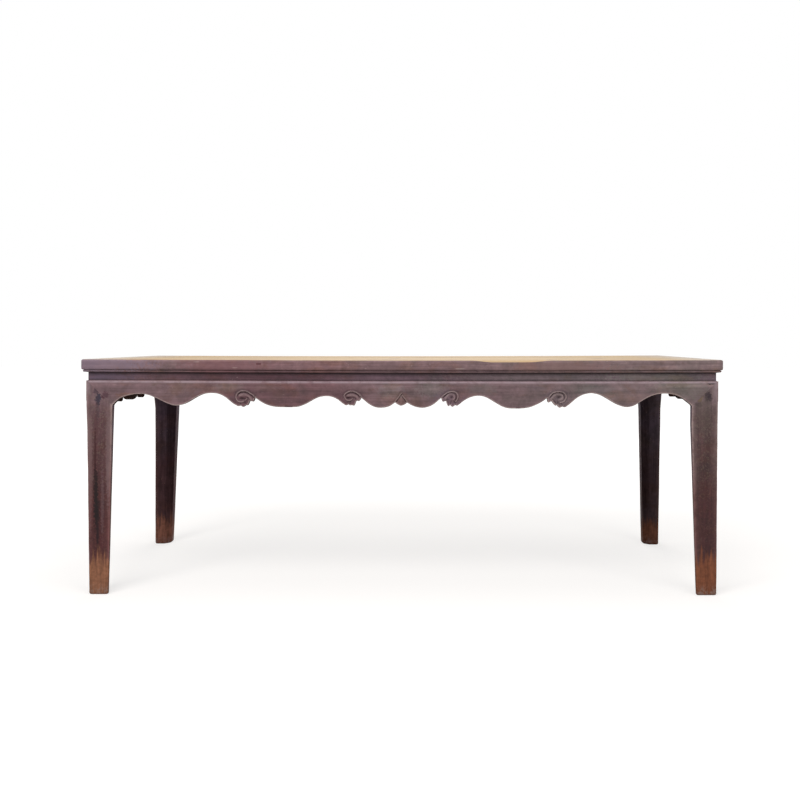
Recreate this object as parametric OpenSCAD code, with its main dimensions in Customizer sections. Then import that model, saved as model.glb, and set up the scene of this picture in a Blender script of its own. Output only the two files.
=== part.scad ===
// Long waisted dining table of old lacquered wood. A mitred frame holds a floating top of
// boards on cross battens. Under it come a recessed waist, four scalloped aprons and four
// square corner legs, which taper on their inner sides and meet the aprons in three-way mitres.
// X runs along the table, Y from front to back and Z up. The origin is on the floor,
// under the middle of the top.

/* [Overall] */
// Length of the top
table_len = 2286; // [2200:2:2400]
// Depth of the top from front to back
table_dep = 1010; // [960:2:1080]
// Height of the top above the floor
table_h = 838; // [780:1:880]

/* [Top] */
// Width of the frame rails seen from above
rail_w = 110; // [104:1:130]
// Thickness of the frame rails
rail_t = 46; // [45:1:52]
// Thickness of the boards
board_t = 20; // [18:0.5:22]
// Radius of the rail's upper arris
edge_round = 5; // [2:0.5:8]
// Height of the upright part of the rail's edge, with the round
edge_flat = 25; // [20:0.5:26]
// Height of the quarter round under the upright part
ovolo_h = 9; // [7:0.5:9]
// How far the quarter round comes in
ovolo_d = 5; // [3:0.5:7]
// Radius of the bead along the rail's lower edge
bead_r = 3.5; // [2.5:0.25:3.5]

/* [Battens] */
// Width of a cross batten
batten_w = 50; // [44:1:70]
// Height of a cross batten below the boards
batten_h = 40; // [34:1:50]
// Distance between the middles of neighbouring battens
batten_step = 440; // [300:5:560]

/* [Waist and aprons] */
// How far the top stands out past the legs and aprons
overhang = 14; // [8:1:20]
// How far the waist is set back from the aprons
recess = 6; // [4:0.5:8]
// Height of the waist
waist_h = 27; // [20:1:40]
// Thickness of the aprons
apron_t = 28; // [26:0.5:31]
// Height of the rounded shoulder along an apron's top
shoulder_h = 8; // [5:0.5:10]
// Depth of the aprons at the point in their middle
tip_drop = 87; // [84:1:94]
// Depth of the aprons at their lobes
lobe_drop = 95; // [92:1:104]
// Depth of the aprons at their arches
arch_drop = 44; // [36:1:50]

/* [Legs] */
// Width of a leg's faces where they meet the aprons
leg_w = 86; // [84:1:92]
// Width of a leg's faces at the floor
foot_w = 62; // [58:1:70]
// Flat width of a leg's inner faces, up to its cut-off inner corner
side_w = 50; // [44:1:54]
// Depth of the mitre between leg and apron
mitre_drop = 84; // [80:1:90]

/* [Joinery] */
// Clearance of a tenon, tongue or key in its slot
fit = 0.3; // [0.1:0.05:0.5]
// Diameter of the pegs that lock the frame
peg_d = 9; // [7:0.5:10]

/* [Hidden] */

LACQUER = "#6b5458";
LACQUER_DARK = "#594549";
BARE_WOOD = "#d8c3a6";
INNER_WOOD = "#7a5a44";

// Overrun of a cutter past the solid that it cuts
past = 1;
// How deep a joined block is let into its neighbour in the same piece
let_in = 4;

// Levels from the floor up
rail_z = table_h - rail_t;
apron_top = rail_z - waist_h;
board_z = table_h - board_t;

// Half sizes of the top, and of the rectangle that the leg faces make
top_hx = table_len / 2;
top_hy = table_dep / 2;
leg_hx = top_hx - overhang;
leg_hy = top_hy - overhang;

// Rail joinery: a tenon at each end of the long rails, let into the end rails
rail_tenon_t = 12;
rail_tenon_z = rail_z + 13;
rail_tenon_from = 36;
rail_tenon_w = 48;
rail_tenon_stop = 14;

// Tongue round the boards and its groove in the rails
tongue_t = 8;
tongue_d = 10;
groove_d = tongue_d + 2;
board_gap = 0.8;

// Tongue between neighbouring boards
match_t = 4;
match_d = 6;
match_z = board_z + 10.5;

// Dovetail on top of a batten and tenons at its ends
dove_h = 7;
dove_w = 30;
dove_flare = 3;
batten_tenon_w = 30;
batten_tenon_t = 14;
batten_tenon_d = 30;
batten_tenon_z = rail_z + 4;
batten_ease = 6;

// Tongue on top of the waist
waist_tongue_t = 8;
waist_tongue_h = 8;
waist_tongue_in = recess + 4;

// Tenon between apron and leg, in the leg's own corner measures
apron_tenon_in = 34;
apron_tenon_t = 12;
apron_tenon_face = 12;
apron_tenon_top = 20;
apron_tenon_h = 45;

// Leg: its inner corner is cut off from the floor up to this level behind the aprons
cut_top = apron_top - 75;
foot_ease = 6;
post_w = 56;
leg_tenon_h = 10;
leg_tenon_l = 24;
leg_tenon_t = 16;
leg_tenon_in = apron_t + 4;
leg_tenon_out = apron_t + 28;

// Hanging keys behind the aprons
key_w = 26;
key_t = 14;
key_neck = 16;
key_flare = 3;
key_in = 6;
key_drop = 70;
key_tenon_t = 8;
key_tenon_h = 8;

// Pegs up through the end rails and the tenons in them
peg_in = 38;
peg_along = 60;
peg_top = rail_tenon_z + rail_tenon_t + 4;

// Stations of the long aprons' outline, measured from their middle
point_half = 24;
point_join = 75;
lobe_1 = 75;
cusp_1 = 142;
arch_1 = 277;
arch_1_drop = 52;
lobe_2_from = 386;
lobe_2_to = 436;
cusp_2 = 519;
cusp_drop = 61;
arch_2 = 680;
lobe_3 = 805;
end_arch = 99;
long_key_at = [0, (lobe_2_from + lobe_2_to) / 2, lobe_3];

// Stations of the short aprons' outline, measured from their middle
short_lobe = 55;
short_arch = 102;
short_cusp = 150;
short_end_arch = 86;

// Teeth of the two scrolls: steps out from a cusp, and down from it
scroll_1 = [[2, 11], [15, 11], [19, 10], [22.5, 26], [32, 24], [38.5, 29], [45, 25], [55, 24]];
scroll_2 = [[4, 13.5], [8, 13.5], [16, 9], [28, 25.5], [34.5, 22.5], [43, 31.5], [51.5, 29],
  [61.5, 30.5], [72, 26]];

// Points of a cubic curve after its start
function curve(a, b, c, d, steps = 6) = [for (i = [1:steps]) let (t = i / steps, s = 1 - t)
  a * s * s * s + 3 * b * t * s * s + 3 * c * t * t * s + d * t * t * t];

// The last point of a list
function last(list) = list[len(list) - 1];

// Scroll teeth as points out from a cusp
function teeth(cusp, steps) = [for (s = steps) cusp + s];

// A long apron's lower edge, from its middle to its mitre, as [distance out, depth]
function long_edge(corner) = let (
    tip = [0, tip_drop],
    join = [point_half, point_join],
    cusp_a = [cusp_1, cusp_drop],
    teeth_a = teeth(cusp_a, scroll_1),
    arch_a = [arch_1, arch_1_drop],
    cusp_b = [cusp_2, cusp_drop],
    teeth_b = teeth(cusp_b, scroll_2),
    arch_b = [arch_2, arch_drop],
    arch_c = [corner - end_arch, arch_drop],
    foot = [corner, mitre_drop])
  concat([tip],
    curve(tip, tip + [9, -1], join + [-5, 5], join, 4),
    curve(join, join + [16, 11], [lobe_1 - 20, lobe_drop], [lobe_1, lobe_drop]),
    curve([lobe_1, lobe_drop], [lobe_1 + 25, lobe_drop], cusp_a + [-20, 16], cusp_a),
    teeth_a,
    curve(last(teeth_a), last(teeth_a) + [21, -9], arch_a - [37, 0], arch_a),
    curve(arch_a, arch_a + [41, 0], [lobe_2_from - 51, lobe_drop], [lobe_2_from, lobe_drop]),
    [[lobe_2_to, lobe_drop]],
    curve([lobe_2_to, lobe_drop], [lobe_2_to + 32, lobe_drop], cusp_b + [-19, 21], cusp_b),
    teeth_b,
    curve(last(teeth_b), last(teeth_b) + [21, -15], arch_b - [48, 0], arch_b),
    curve(arch_b, arch_b + [48, 0], [lobe_3 - 57, lobe_drop], [lobe_3, lobe_drop]),
    curve([lobe_3, lobe_drop], [lobe_3 + 45, lobe_drop], arch_c - [62, 0], arch_c),
    curve(arch_c, arch_c + [45, 0], foot - [21, 26], foot));

// A short apron's lower edge in the same way
function short_edge(corner) = let (
    tip = [0, tip_drop],
    join = [short_lobe, point_join],
    arch_a = [short_arch, arch_1_drop],
    cusp = [short_cusp, cusp_drop + 4],
    teeth_a = teeth(cusp, scroll_1),
    arch_b = [corner - short_end_arch, arch_drop],
    foot = [corner, mitre_drop])
  concat([tip],
    curve(tip, tip + [22, -1], join + [-10, 9], join, 5),
    curve(join, join - [-7, 17], arch_a - [22, 0], arch_a, 5),
    curve(arch_a, arch_a + [22, 0], cusp - [10, 7], cusp, 5),
    teeth_a,
    curve(last(teeth_a), last(teeth_a) + [24, -9], arch_b - [45, 0], arch_b),
    curve(arch_b, arch_b + [40, 0], foot - [20, 26], foot));

// Section of a rail as [inward from its edge, height]
function rail_section() = let (
    bead_x = ovolo_d + bead_r + 1,
    bead_z = edge_flat + ovolo_h + 1 + bead_r,
    slot_a = overhang + waist_tongue_in - fit,
    slot_b = slot_a + waist_tongue_t + 2 * fit,
    slot_top = rail_z + waist_tongue_h + fit)
  concat(
    [for (a = [0:15:90]) [edge_round * (1 - sin(a)), table_h - edge_round * (1 - cos(a))]],
    [for (a = [0:15:90]) [ovolo_d * (1 - cos(a)), table_h - edge_flat - ovolo_h * sin(a)]],
    [for (a = [0:22.5:180]) [bead_x - bead_r * sin(a), table_h - bead_z + bead_r * cos(a)]],
    [[overhang + recess, rail_z]],
    [[slot_a, rail_z], [slot_a, slot_top], [slot_b, slot_top], [slot_b, rail_z]],
    [[rail_w, rail_z], [rail_w, board_z - fit], [rail_w - groove_d, board_z - fit],
     [rail_w - groove_d, board_z + tongue_t + fit], [rail_w, board_z + tongue_t + fit],
     [rail_w, table_h]]);

// Runs a section of [y, z] points along X, centred
module along_x(length) {
  translate([-length / 2, 0, 0]) rotate([90, 0, 90]) linear_extrude(length) children();
}

// Runs a face of [x, z] points back along Y, from zero
module along_y(depth) {
  translate([0, depth, 0]) rotate([90, 0, 0]) linear_extrude(depth) children();
}

// A mitred strip on the front side of a rectangle, seen from above
module mitred(hx, hy, depth, low, high) {
  translate([0, 0, low]) linear_extrude(high - low)
    polygon([[-hx, -hy], [hx, -hy], [hx - depth, depth - hy], [depth - hx, depth - hy]]);
}

// A block from corner to corner
module block(a, b) {
  translate(a) cube(b - a);
}

// Copies to the left and the right of the middle
module both_ends() {
  children();
  mirror([1, 0, 0]) children();
}

// Rails of the frame
module rail_blank(hx, hy) {
  intersection() {
    translate([0, -hy, 0]) along_x(2 * hx) polygon(rail_section());
    mitred(hx, hy, rail_w, rail_z - past, table_h + past);
  }
}

// The tenon at the right end of the front rail, grown by a gap
module rail_tenon(gap) {
  block([top_hx - rail_w - gap, rail_tenon_from - top_hy - gap, rail_tenon_z - gap],
    [top_hx - rail_tenon_stop + gap, rail_tenon_from + rail_tenon_w - top_hy + gap,
     rail_tenon_z + rail_tenon_t + gap]);
}

// The peg at the right end of the front rail, grown by a gap
module peg(gap) {
  translate([top_hx - peg_in, peg_along - top_hy, rail_z - gap])
    cylinder(d = peg_d + 2 * gap, h = peg_top - rail_z + 2 * gap, $fn = 48);
}

// Tenons on top of a leg in its own corner, grown by a gap
module leg_tenons(gap) {
  near = leg_tenon_in - gap;
  far = leg_tenon_out - gap;
  short_side = leg_tenon_t + 2 * gap;
  long_side = leg_tenon_l + 2 * gap;
  high = leg_tenon_h + let_in + gap;
  translate([far, near, rail_z - let_in]) cube([long_side, short_side, high]);
  translate([near, far, rail_z - let_in]) cube([short_side, long_side, high]);
}

// Places a shape made for the front left corner of the legs at all four corners
module four_corners() {
  for (sx = [0, 1], sy = [0, 1])
    mirror([sx, 0, 0]) mirror([0, sy, 0]) translate([-leg_hx, -leg_hy, 0]) children();
}

// Long rail at the front, with tenons at its ends
module rail_long() {
  color(LACQUER) difference() {
    union() {
      rail_blank(top_hx, top_hy);
      both_ends() rail_tenon(0);
    }
    four_corners() leg_tenons(fit);
    both_ends() peg(fit / 3);
    for (i = [0:3]) batten_tenons(i, fit);
    long_keys() key_tenon(fit);
  }
}

// End rail at the right, with mortises for the long rails' tenons
module rail_end() {
  color(LACQUER) difference() {
    rotate(90) rail_blank(top_hy, top_hx);
    for (s = [0, 1]) mirror([0, s, 0]) {
      rail_tenon(fit);
      peg(fit / 3);
    }
    four_corners() leg_tenons(fit);
    short_keys() key_tenon(fit);
  }
}

// Boards of the top
board_w = (2 * (top_hy - rail_w)) / 4;

module board(i) {
  hx = top_hx - rail_w;
  y_from = -2 * board_w + i * board_w;
  y_to = y_from + board_w;
  first = i == 0;
  final = i == 3;
  gap_a = first ? board_gap : board_gap / 2;
  gap_b = final ? board_gap : board_gap / 2;
  color(BARE_WOOD) difference() {
    union() {
      block([board_gap - hx, y_from + gap_a, board_z], [hx - board_gap, y_to - gap_b, table_h]);
      block([-hx - tongue_d, first ? y_from - tongue_d : y_from + gap_a, board_z],
        [hx + tongue_d, final ? y_to + tongue_d : y_to - gap_b, board_z + tongue_t]);
      if (!final)
        block([board_gap - hx, y_to - board_gap, match_z],
          [hx - board_gap, y_to + match_d, match_z + match_t]);
    }
    if (!first)
      block([-hx - tongue_d - past, y_from - past, match_z - fit],
        [hx + tongue_d + past, y_from + match_d + 2 * fit, match_z + match_t + fit]);
    for (j = [0:3]) batten_dovetail(j, fit);
  }
}

// Cross battens under the boards
function batten_x(i) = (i - 1.5) * batten_step;

module batten_dovetail(i, gap) {
  reach = top_hy - rail_w - board_gap + gap;
  foot = dove_w / 2 - dove_flare + gap;
  head = dove_w / 2 + gap;
  translate([batten_x(i), -reach, board_z]) along_y(2 * reach)
    polygon([[-foot, -past], [foot, -past], [foot, 0], [head, dove_h + gap],
             [-head, dove_h + gap], [-foot, 0]]);
}

module batten_tenons(i, gap) {
  reach = top_hy - rail_w + batten_tenon_d + gap;
  half = batten_tenon_w / 2 + gap;
  block([batten_x(i) - half, -reach, batten_tenon_z - gap],
    [batten_x(i) + half, reach, batten_tenon_z + batten_tenon_t + gap]);
}

module batten(i) {
  reach = top_hy - rail_w;
  half = batten_w / 2;
  low = board_z - batten_h;
  color(INNER_WOOD) union() {
    translate([batten_x(i), -reach, 0]) along_y(2 * reach)
      polygon([[batten_ease - half, low], [half - batten_ease, low], [half, low + batten_ease],
               [half, board_z], [-half, board_z], [-half, low + batten_ease]]);
    batten_dovetail(i, 0);
    batten_tenons(i, 0);
  }
}

// Waist under the frame, shared by the front and the ends
module waist_strip(hx, hy) {
  intersection() {
    mitred(hx, hy, apron_t, apron_top - past, table_h);
    translate([0, -hy, 0]) along_x(2 * hx)
      polygon([[recess, apron_top], [apron_t, apron_top], [apron_t, rail_z],
        [waist_tongue_in + waist_tongue_t, rail_z],
        [waist_tongue_in + waist_tongue_t, rail_z + waist_tongue_h],
        [waist_tongue_in, rail_z + waist_tongue_h], [waist_tongue_in, rail_z],
        [recess, rail_z]]);
  }
}

module waist_long() {
  color(LACQUER_DARK) difference() {
    waist_strip(leg_hx, leg_hy);
    long_keys() key_dovetail(fit);
  }
}

module waist_end() {
  color(LACQUER_DARK) difference() {
    rotate(90) waist_strip(leg_hy, leg_hx);
    short_keys() key_dovetail(fit);
  }
}

// Board of an apron, with its lower edge given from the middle outwards
module apron_board(hx, hy, edge) {
  lower = [for (i = [len(edge) - 1:-1:0]) [edge[i][0], apron_top - edge[i][1]]];
  mirrored = [for (i = [1:len(edge) - 1]) [-edge[i][0], apron_top - edge[i][1]]];
  round_over = [for (a = [0:15:90])
    [recess * (1 - sin(a)), apron_top - shoulder_h * (1 - cos(a))]];
  deepest = apron_top - lobe_drop - past;
  intersection() {
    translate([0, -hy, 0]) along_y(apron_t)
      polygon(concat([[-hx, apron_top], [hx, apron_top]], lower, mirrored));
    translate([0, -hy, 0]) along_x(2 * hx)
      polygon(concat([[apron_t, apron_top]], round_over, [[0, deepest], [apron_t, deepest]]));
    mitred(hx, hy, apron_t, deepest, apron_top);
  }
}

// Tenon at the left end of an apron, in its corner's own measures, grown by a gap
module apron_tenon(gap) {
  high = apron_top - apron_tenon_top;
  block([apron_tenon_in - gap, apron_tenon_face - gap, high - apron_tenon_h - gap],
    [leg_w + gap, apron_tenon_face + apron_tenon_t + gap, high + gap]);
}

module apron_long() {
  color(LACQUER) difference() {
    union() {
      apron_board(leg_hx, leg_hy, long_edge(leg_hx - leg_w));
      both_ends() translate([-leg_hx, -leg_hy, 0]) apron_tenon(0);
    }
    long_keys() key_dovetail(fit);
  }
}

module apron_end() {
  color(LACQUER) difference() {
    rotate(90) union() {
      apron_board(leg_hy, leg_hx, short_edge(leg_hy - leg_w));
      both_ends() translate([-leg_hy, -leg_hx, 0]) apron_tenon(0);
    }
    short_keys() key_dovetail(fit);
  }
}

// One leg, with its outer corner on the Z axis and its outer faces along X and Y
module leg_faces() {
  polygon([[foot_ease, 0], [foot_w - foot_ease, 0], [foot_w, foot_ease], [leg_w, cut_top],
           [leg_w, apron_top], [0, apron_top], [0, foot_ease]]);
}

// What is cut off the leg's inner corner, narrow at the foot and wide under the aprons
module leg_corner_cut() {
  at_floor = (foot_w + side_w) / sqrt(2);
  at_top = (leg_w + side_w) / sqrt(2);
  slope = (at_top - at_floor) / cut_top;
  far = 2 * leg_w;
  rotate(45) translate([0, -leg_w, 0]) along_y(2 * leg_w)
    polygon([[at_floor - past * slope, -past], [at_top, cut_top], [far, cut_top], [far, -past]]);
}

// What an apron takes out of the leg's outer layer, above the mitre
module mitre_cut() {
  slope = mitre_drop / leg_w;
  out = leg_w + past;
  translate([0, -past, 0]) along_y(apron_t + past)
    polygon([[0, apron_top], [out, apron_top - out * slope], [out, apron_top + past],
             [0, apron_top + past]]);
}

// Swaps X and Y, so that one side's shape serves for the other
module other_side() {
  mirror([1, -1, 0]) children();
}

module leg() {
  color(LACQUER) difference() {
    union() {
      intersection() {
        along_y(leg_w) leg_faces();
        other_side() along_y(leg_w) leg_faces();
      }
      block([apron_t, apron_t, apron_top - let_in], [apron_t + post_w, apron_t + post_w, rail_z]);
      leg_tenons(0);
    }
    leg_corner_cut();
    mitre_cut();
    other_side() mitre_cut();
    apron_tenon(fit);
    other_side() apron_tenon(fit);
  }
}

// Hanging keys, drawn behind the middle of the front apron
module key_dovetail(gap) {
  neck = key_neck / 2 + gap;
  head = neck + key_flare;
  low = apron_top - key_drop - gap;
  translate([0, apron_t, low]) linear_extrude(rail_z - low + (gap > 0 ? past : 0))
    polygon([[-neck, past], [-neck, 0], [-head, -key_in - gap], [head, -key_in - gap],
             [neck, 0], [neck, past]]);
}

module key_tenon(gap) {
  half = key_neck / 2 + gap;
  mid = apron_t + key_t / 2;
  block([-half, mid - key_tenon_t / 2 - gap, rail_z - let_in],
    [half, mid + key_tenon_t / 2 + gap, rail_z + key_tenon_h + gap]);
}

module hanging_key() {
  color(INNER_WOOD) union() {
    key_dovetail(0);
    block([-key_w / 2, apron_t, apron_top - key_drop], [key_w / 2, apron_t + key_t, rail_z]);
    key_tenon(0);
  }
}

// Puts a key shape at each place behind the front apron
module long_keys() {
  for (x = long_key_at) {
    translate([x, -leg_hy, 0]) children();
    if (x > 0) translate([-x, -leg_hy, 0]) children();
  }
}

// Puts a key shape behind the middle of the right end's apron
module short_keys() {
  rotate(90) translate([0, -leg_hx, 0]) children();
}

rail_long();  // rail_front
mirror([0, 1, 0]) rail_long();  // rail_back
mirror([1, 0, 0]) rail_end();  // rail_left
rail_end();  // rail_right
board(0);  // board_1
board(1);  // board_2
board(2);  // board_3
board(3);  // board_4
batten(0);  // batten_1
batten(1);  // batten_2
batten(2);  // batten_3
batten(3);  // batten_4
waist_long();  // waist_front
mirror([0, 1, 0]) waist_long();  // waist_back
mirror([1, 0, 0]) waist_end();  // waist_left
waist_end();  // waist_right
apron_long();  // apron_front
mirror([0, 1, 0]) apron_long();  // apron_back
mirror([1, 0, 0]) apron_end();  // apron_left
apron_end();  // apron_right
translate([-leg_hx, -leg_hy, 0]) leg();  // leg_front_left
mirror([1, 0, 0]) translate([-leg_hx, -leg_hy, 0]) leg();  // leg_front_right
mirror([0, 1, 0]) translate([-leg_hx, -leg_hy, 0]) leg();  // leg_back_left
mirror([1, 0, 0]) mirror([0, 1, 0]) translate([-leg_hx, -leg_hy, 0]) leg();  // leg_back_right
long_keys() hanging_key();  // keys_front
mirror([0, 1, 0]) long_keys() hanging_key();  // keys_back
mirror([1, 0, 0]) short_keys() hanging_key();  // key_left
short_keys() hanging_key();  // key_right
color(INNER_WOOD) {  // frame_pegs
  both_ends() peg(0);
  mirror([0, 1, 0]) both_ends() peg(0);
}
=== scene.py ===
"""A long dining table of old lacquered wood: a mitred frame with a floating top of bare boards,
a recessed waist, four scalloped and carved aprons, and four tapering corner legs."""

import math

import bmesh
import bpy
import numpy as np
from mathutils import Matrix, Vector, noise


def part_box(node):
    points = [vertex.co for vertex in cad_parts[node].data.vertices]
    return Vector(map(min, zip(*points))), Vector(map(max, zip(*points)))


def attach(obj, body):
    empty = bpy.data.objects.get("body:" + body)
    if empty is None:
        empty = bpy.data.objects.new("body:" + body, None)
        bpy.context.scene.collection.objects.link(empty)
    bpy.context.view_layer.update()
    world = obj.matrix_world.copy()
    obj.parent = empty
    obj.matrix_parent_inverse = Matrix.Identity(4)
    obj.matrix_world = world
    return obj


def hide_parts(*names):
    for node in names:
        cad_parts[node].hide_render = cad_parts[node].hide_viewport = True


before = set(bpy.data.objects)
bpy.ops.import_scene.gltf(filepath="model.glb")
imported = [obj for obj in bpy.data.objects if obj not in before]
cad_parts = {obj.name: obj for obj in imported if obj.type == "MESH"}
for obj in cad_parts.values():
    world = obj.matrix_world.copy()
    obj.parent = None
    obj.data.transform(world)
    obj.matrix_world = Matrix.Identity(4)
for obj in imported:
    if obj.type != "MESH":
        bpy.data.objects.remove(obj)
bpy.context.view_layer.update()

bl_info = {
    "name": "Waisted Dining Table",
    "version": (1, 0, 0),
    "blender": (4, 5, 0),
    "location": "3D View > Sidebar > Table",
    "description": "Builds a long waisted dining table with carved aprons and old, worn lacquer",
    "category": "Add Mesh",
}

MM = 0.001
ALONG, BACK, UP = (1, 0, 0), (0, 1, 0), (0, 0, 1)

# Boxes of the frame's nodes, which every size below starts from
RAIL_LOW, RAIL_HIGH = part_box("rail_front")
APRON_LOW, APRON_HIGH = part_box("apron_front")
WAIST_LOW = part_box("waist_front")[0]
LEG_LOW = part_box("leg_front_left")[0]

# Half sizes of the top and of the rectangle that the legs' outer faces make, and main levels
TOP_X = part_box("rail_right")[1].x
TOP_Y = -RAIL_LOW.y
TOP_Z = RAIL_HIGH.z
RAIL_Z = RAIL_LOW.z
LEG_X = -LEG_LOW.x
LEG_Y = -LEG_LOW.y
APRON_Z = APRON_HIGH.z
RAIL_W = RAIL_HIGH.y - RAIL_LOW.y
APRON_T = APRON_HIGH.y - APRON_LOW.y
RECESS = LEG_Y + WAIST_LOW.y

# Legs: faces 94 mm wide at the apron and 70 mm at the floor. The inner corner is cut off below
# the aprons, and leaves a flat strip of each inner face, at the top and at the floor.
LEG_W = 94 * MM
FOOT_W = 70 * MM
FRONT_STRIP = (28 * MM, 14 * MM)
BACK_STRIP = (58 * MM, 44 * MM)
CUT_Z = APRON_Z - 75 * MM
MITRE = 90 * MM
POST_W = 56 * MM

# Boards: 20 mm thick, with an 8 mm tongue that runs 10 mm into the rails. A gap is left beside
# each board and at each mitre.
BOARD_Z = TOP_Z - 20 * MM
TONGUE_T = 8 * MM
TONGUE_D = 10 * MM
GAP = 0.8 * MM
MITRE_GAP = 0.15 * MM

# The aprons' dropped shoulder in mm, the radius of the rails' upper arris in mm, and the bevel
# behind the aprons' lower edge
SHOULDER = 8
ARRIS = 8.5
BACK_BEVEL = 4 * MM

# In mm: how far under the aprons' top the line lies from which their edges are drawn, the radius
# of their lower arris, how deep the carving goes and how far it stands out, the depth and width
# of the painted highlight along their shoulder, the half width of the carved drop, and how far a
# scroll reaches before and past its cusp
DRAWN_FROM = 2
LOWER_ARRIS = 2.6
CARVED, RAISED = 8, 1.6
HIGHLIGHT_Z, HIGHLIGHT_W = 5.6, 3.5
DROP_W = 26
SCROLL_REACH = (10, 82)

# How the old table has moved: both ends stand 3 mm above the middle, the right end is 1.8 mm
# higher and the left one as much lower, by 1 mm more at the back and less at the front, and the
# top has swollen by 0.9 mm
SAG = 3.0 * MM
LEAN = 1.8 * MM
TWIST = 1.0 * MM
SWELL = 0.9 * MM

# Places closer than this are one, faces at less than this angle in degrees shade as one, each
# point of a piece tells the finish how worn it is, how dirty and darkened by painted shade, and
# how much painted highlight it has, and the sides stand in the order in which a piece built at
# the front is turned to them
NEAR = 1e-5
SHADE_ANGLE = 38
LAYERS = ("wear", "dirt", "painted_highlight")
SIDES = ("front", "right", "back", "left")

# How far the old legs stand from where they should, along X in mm: the outer face at the top and
# at the floor, then the inner face at the top and at the floor
LEG_SHIFTS = {
    "leg_front_left": (2, 12, 0, 9),
    "leg_front_right": (-1, -4.6, -3.2, -7.4),
    "leg_back_left": (7, 3, 3, -2),
    "leg_back_right": (-4, -9, 5, -2),
}

# Single marks. Each list has its place and half size along Y, and then each mark's place and half
# sizes along X and Z in metres, its colour and its strength: a gouge, three scratches and stains
# on the front edge, stains and shading on the front apron and waist, knots and bruises at the
# mitres, and a long dark crack in the left leg.
KNOT = (1.104, 0.757, 0.014, 0.0034, "221619", 1.0)
EDGE_MARKS = (-0.505, 0.3, [
    (-0.510, 0.825, 0.011, 0.0034, "3a2024", 1.0),
    (-0.731, 0.832, 0.010, 0.0022, "a69692", 0.6),
    (-0.596, 0.8115, 0.012, 0.0018, "a69692", 0.7),
    (0.204, 0.809, 0.018, 0.0016, "a69692", 0.6),
    (-1.080, 0.820, 0.200, 0.030, "7d6f7e", 0.6),
    (-0.640, 0.820, 0.170, 0.030, "7a5357", 0.45),
    (0.560, 0.818, 0.200, 0.022, "80615f", 0.5),
])
APRON_MARKS = (-0.491, 0.2, [
    (-0.623, 0.740, 0.060, 0.018, "80736f", 0.5),
    (-0.480, 0.741, 0.045, 0.014, "6e5f5c", 0.4),
    (-0.575, 0.702, 0.060, 0.034, "63444d", 0.5),
    (-0.300, 0.725, 0.070, 0.022, "745f62", 0.45),
    (-0.190, 0.700, 0.052, 0.034, "5c4048", 0.5),
    (-0.040, 0.730, 0.050, 0.030, "74696a", 0.5),
    (0.110, 0.735, 0.060, 0.030, "827676", 0.45),
    (0.170, 0.704, 0.060, 0.034, "604c5a", 0.55),
    (0.285, 0.735, 0.055, 0.022, "6c6463", 0.4),
    (0.500, 0.742, 0.060, 0.014, "6b575f", 0.4),
    (0.555, 0.708, 0.045, 0.030, "5f5057", 0.45),
    (0.690, 0.728, 0.070, 0.028, "5e5859", 0.4),
    (0.950, 0.716, 0.034, 0.009, "7c5a3a", 0.6),
    (1.000, 0.738, 0.110, 0.040, "716762", 0.4),
    (-1.060, 0.715, 0.013, 0.012, "4a2c36", 0.75),
    (-0.985, 0.712, 0.040, 0.010, "765038", 0.4),
    KNOT,
])
LEFT_MARKS = (-0.491, 0.2, [
    (-1.086, 0.698, 0.012, 0.021, "2e2937", 0.95),
    (-1.090, 0.729, 0.016, 0.012, "3e2e38", 0.8),
    (-1.066, 0.708, 0.010, 0.010, "40222a", 0.85),
    (-1.088, 0.655, 0.008, 0.040, "403238", 0.6),
    (-1.093, 0.590, 0.008, 0.10, "4a2f31", 0.5),
    (-1.096, 0.480, 0.0045, 0.110, "361719", 0.9),
    (-1.094, 0.375, 0.0085, 0.080, "190507", 1.0),
    (-1.091, 0.300, 0.0105, 0.075, "140507", 1.0),
    (-1.087, 0.215, 0.0050, 0.050, "210c10", 1.0),
    (-1.070, 0.330, 0.0060, 0.130, "7d6468", 0.25),
    (-1.115, 0.470, 0.0090, 0.260, "73595a", 0.40),
    (-1.050, 0.520, 0.0090, 0.220, "7b6264", 0.45),
])
WAIST_MARKS = (-0.484, 0.3, [
    (-0.640, 0.778, 0.280, 0.040, "54373d", 0.55),
    (0.480, 0.778, 0.330, 0.040, "67575a", 0.65),
    (0.900, 0.778, 0.180, 0.040, "635857", 0.60),
    (-1.050, 0.775, 0.110, 0.020, "4b4152", 0.55),
])
RIGHT_MARKS = (-0.491, 0.2, [
    (1.093, 0.711, 0.014, 0.018, "30242a", 1.0),
    KNOT,
    (1.062, 0.704, 0.013, 0.013, "74603f", 0.5),
    (1.060, 0.682, 0.014, 0.010, "463a38", 0.65),
    (1.080, 0.640, 0.030, 0.080, "584b46", 0.45),
])


def linear(code):
    """A colour written as sRGB hex, as linear red, green and blue."""
    parts = [int(code[i : i + 2], 16) / 255 for i in (0, 2, 4)]
    return [p / 12.92 if p <= 0.04045 else ((p + 0.055) / 1.055) ** 2.4 for p in parts]


# Mesh tools


def show_alone(obj):
    """Selects one piece and makes it active."""
    bpy.ops.object.select_all(action="DESELECT")
    obj.select_set(True)
    bpy.context.view_layer.objects.active = obj


def taken(name):
    """Names the primitive that was just added, and fixes its size in its mesh."""
    obj = bpy.context.active_object
    show_alone(obj)
    obj.name = name
    obj.data.name = name
    bpy.ops.object.transform_apply(location=True, rotation=True, scale=True)
    return obj


def box_piece(name, low, high):
    """A box between two corners, to be shaped further."""
    bpy.ops.object.select_all(action="DESELECT")
    low, high = Vector(low), Vector(high)
    bpy.ops.mesh.primitive_cube_add(size=1, location=(low + high) / 2)
    bpy.context.active_object.scale = high - low
    return taken(name)


def edit(obj):
    show_alone(obj)
    bpy.ops.object.mode_set(mode="EDIT")


def done():
    bpy.ops.object.mode_set(mode="OBJECT")


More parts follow.
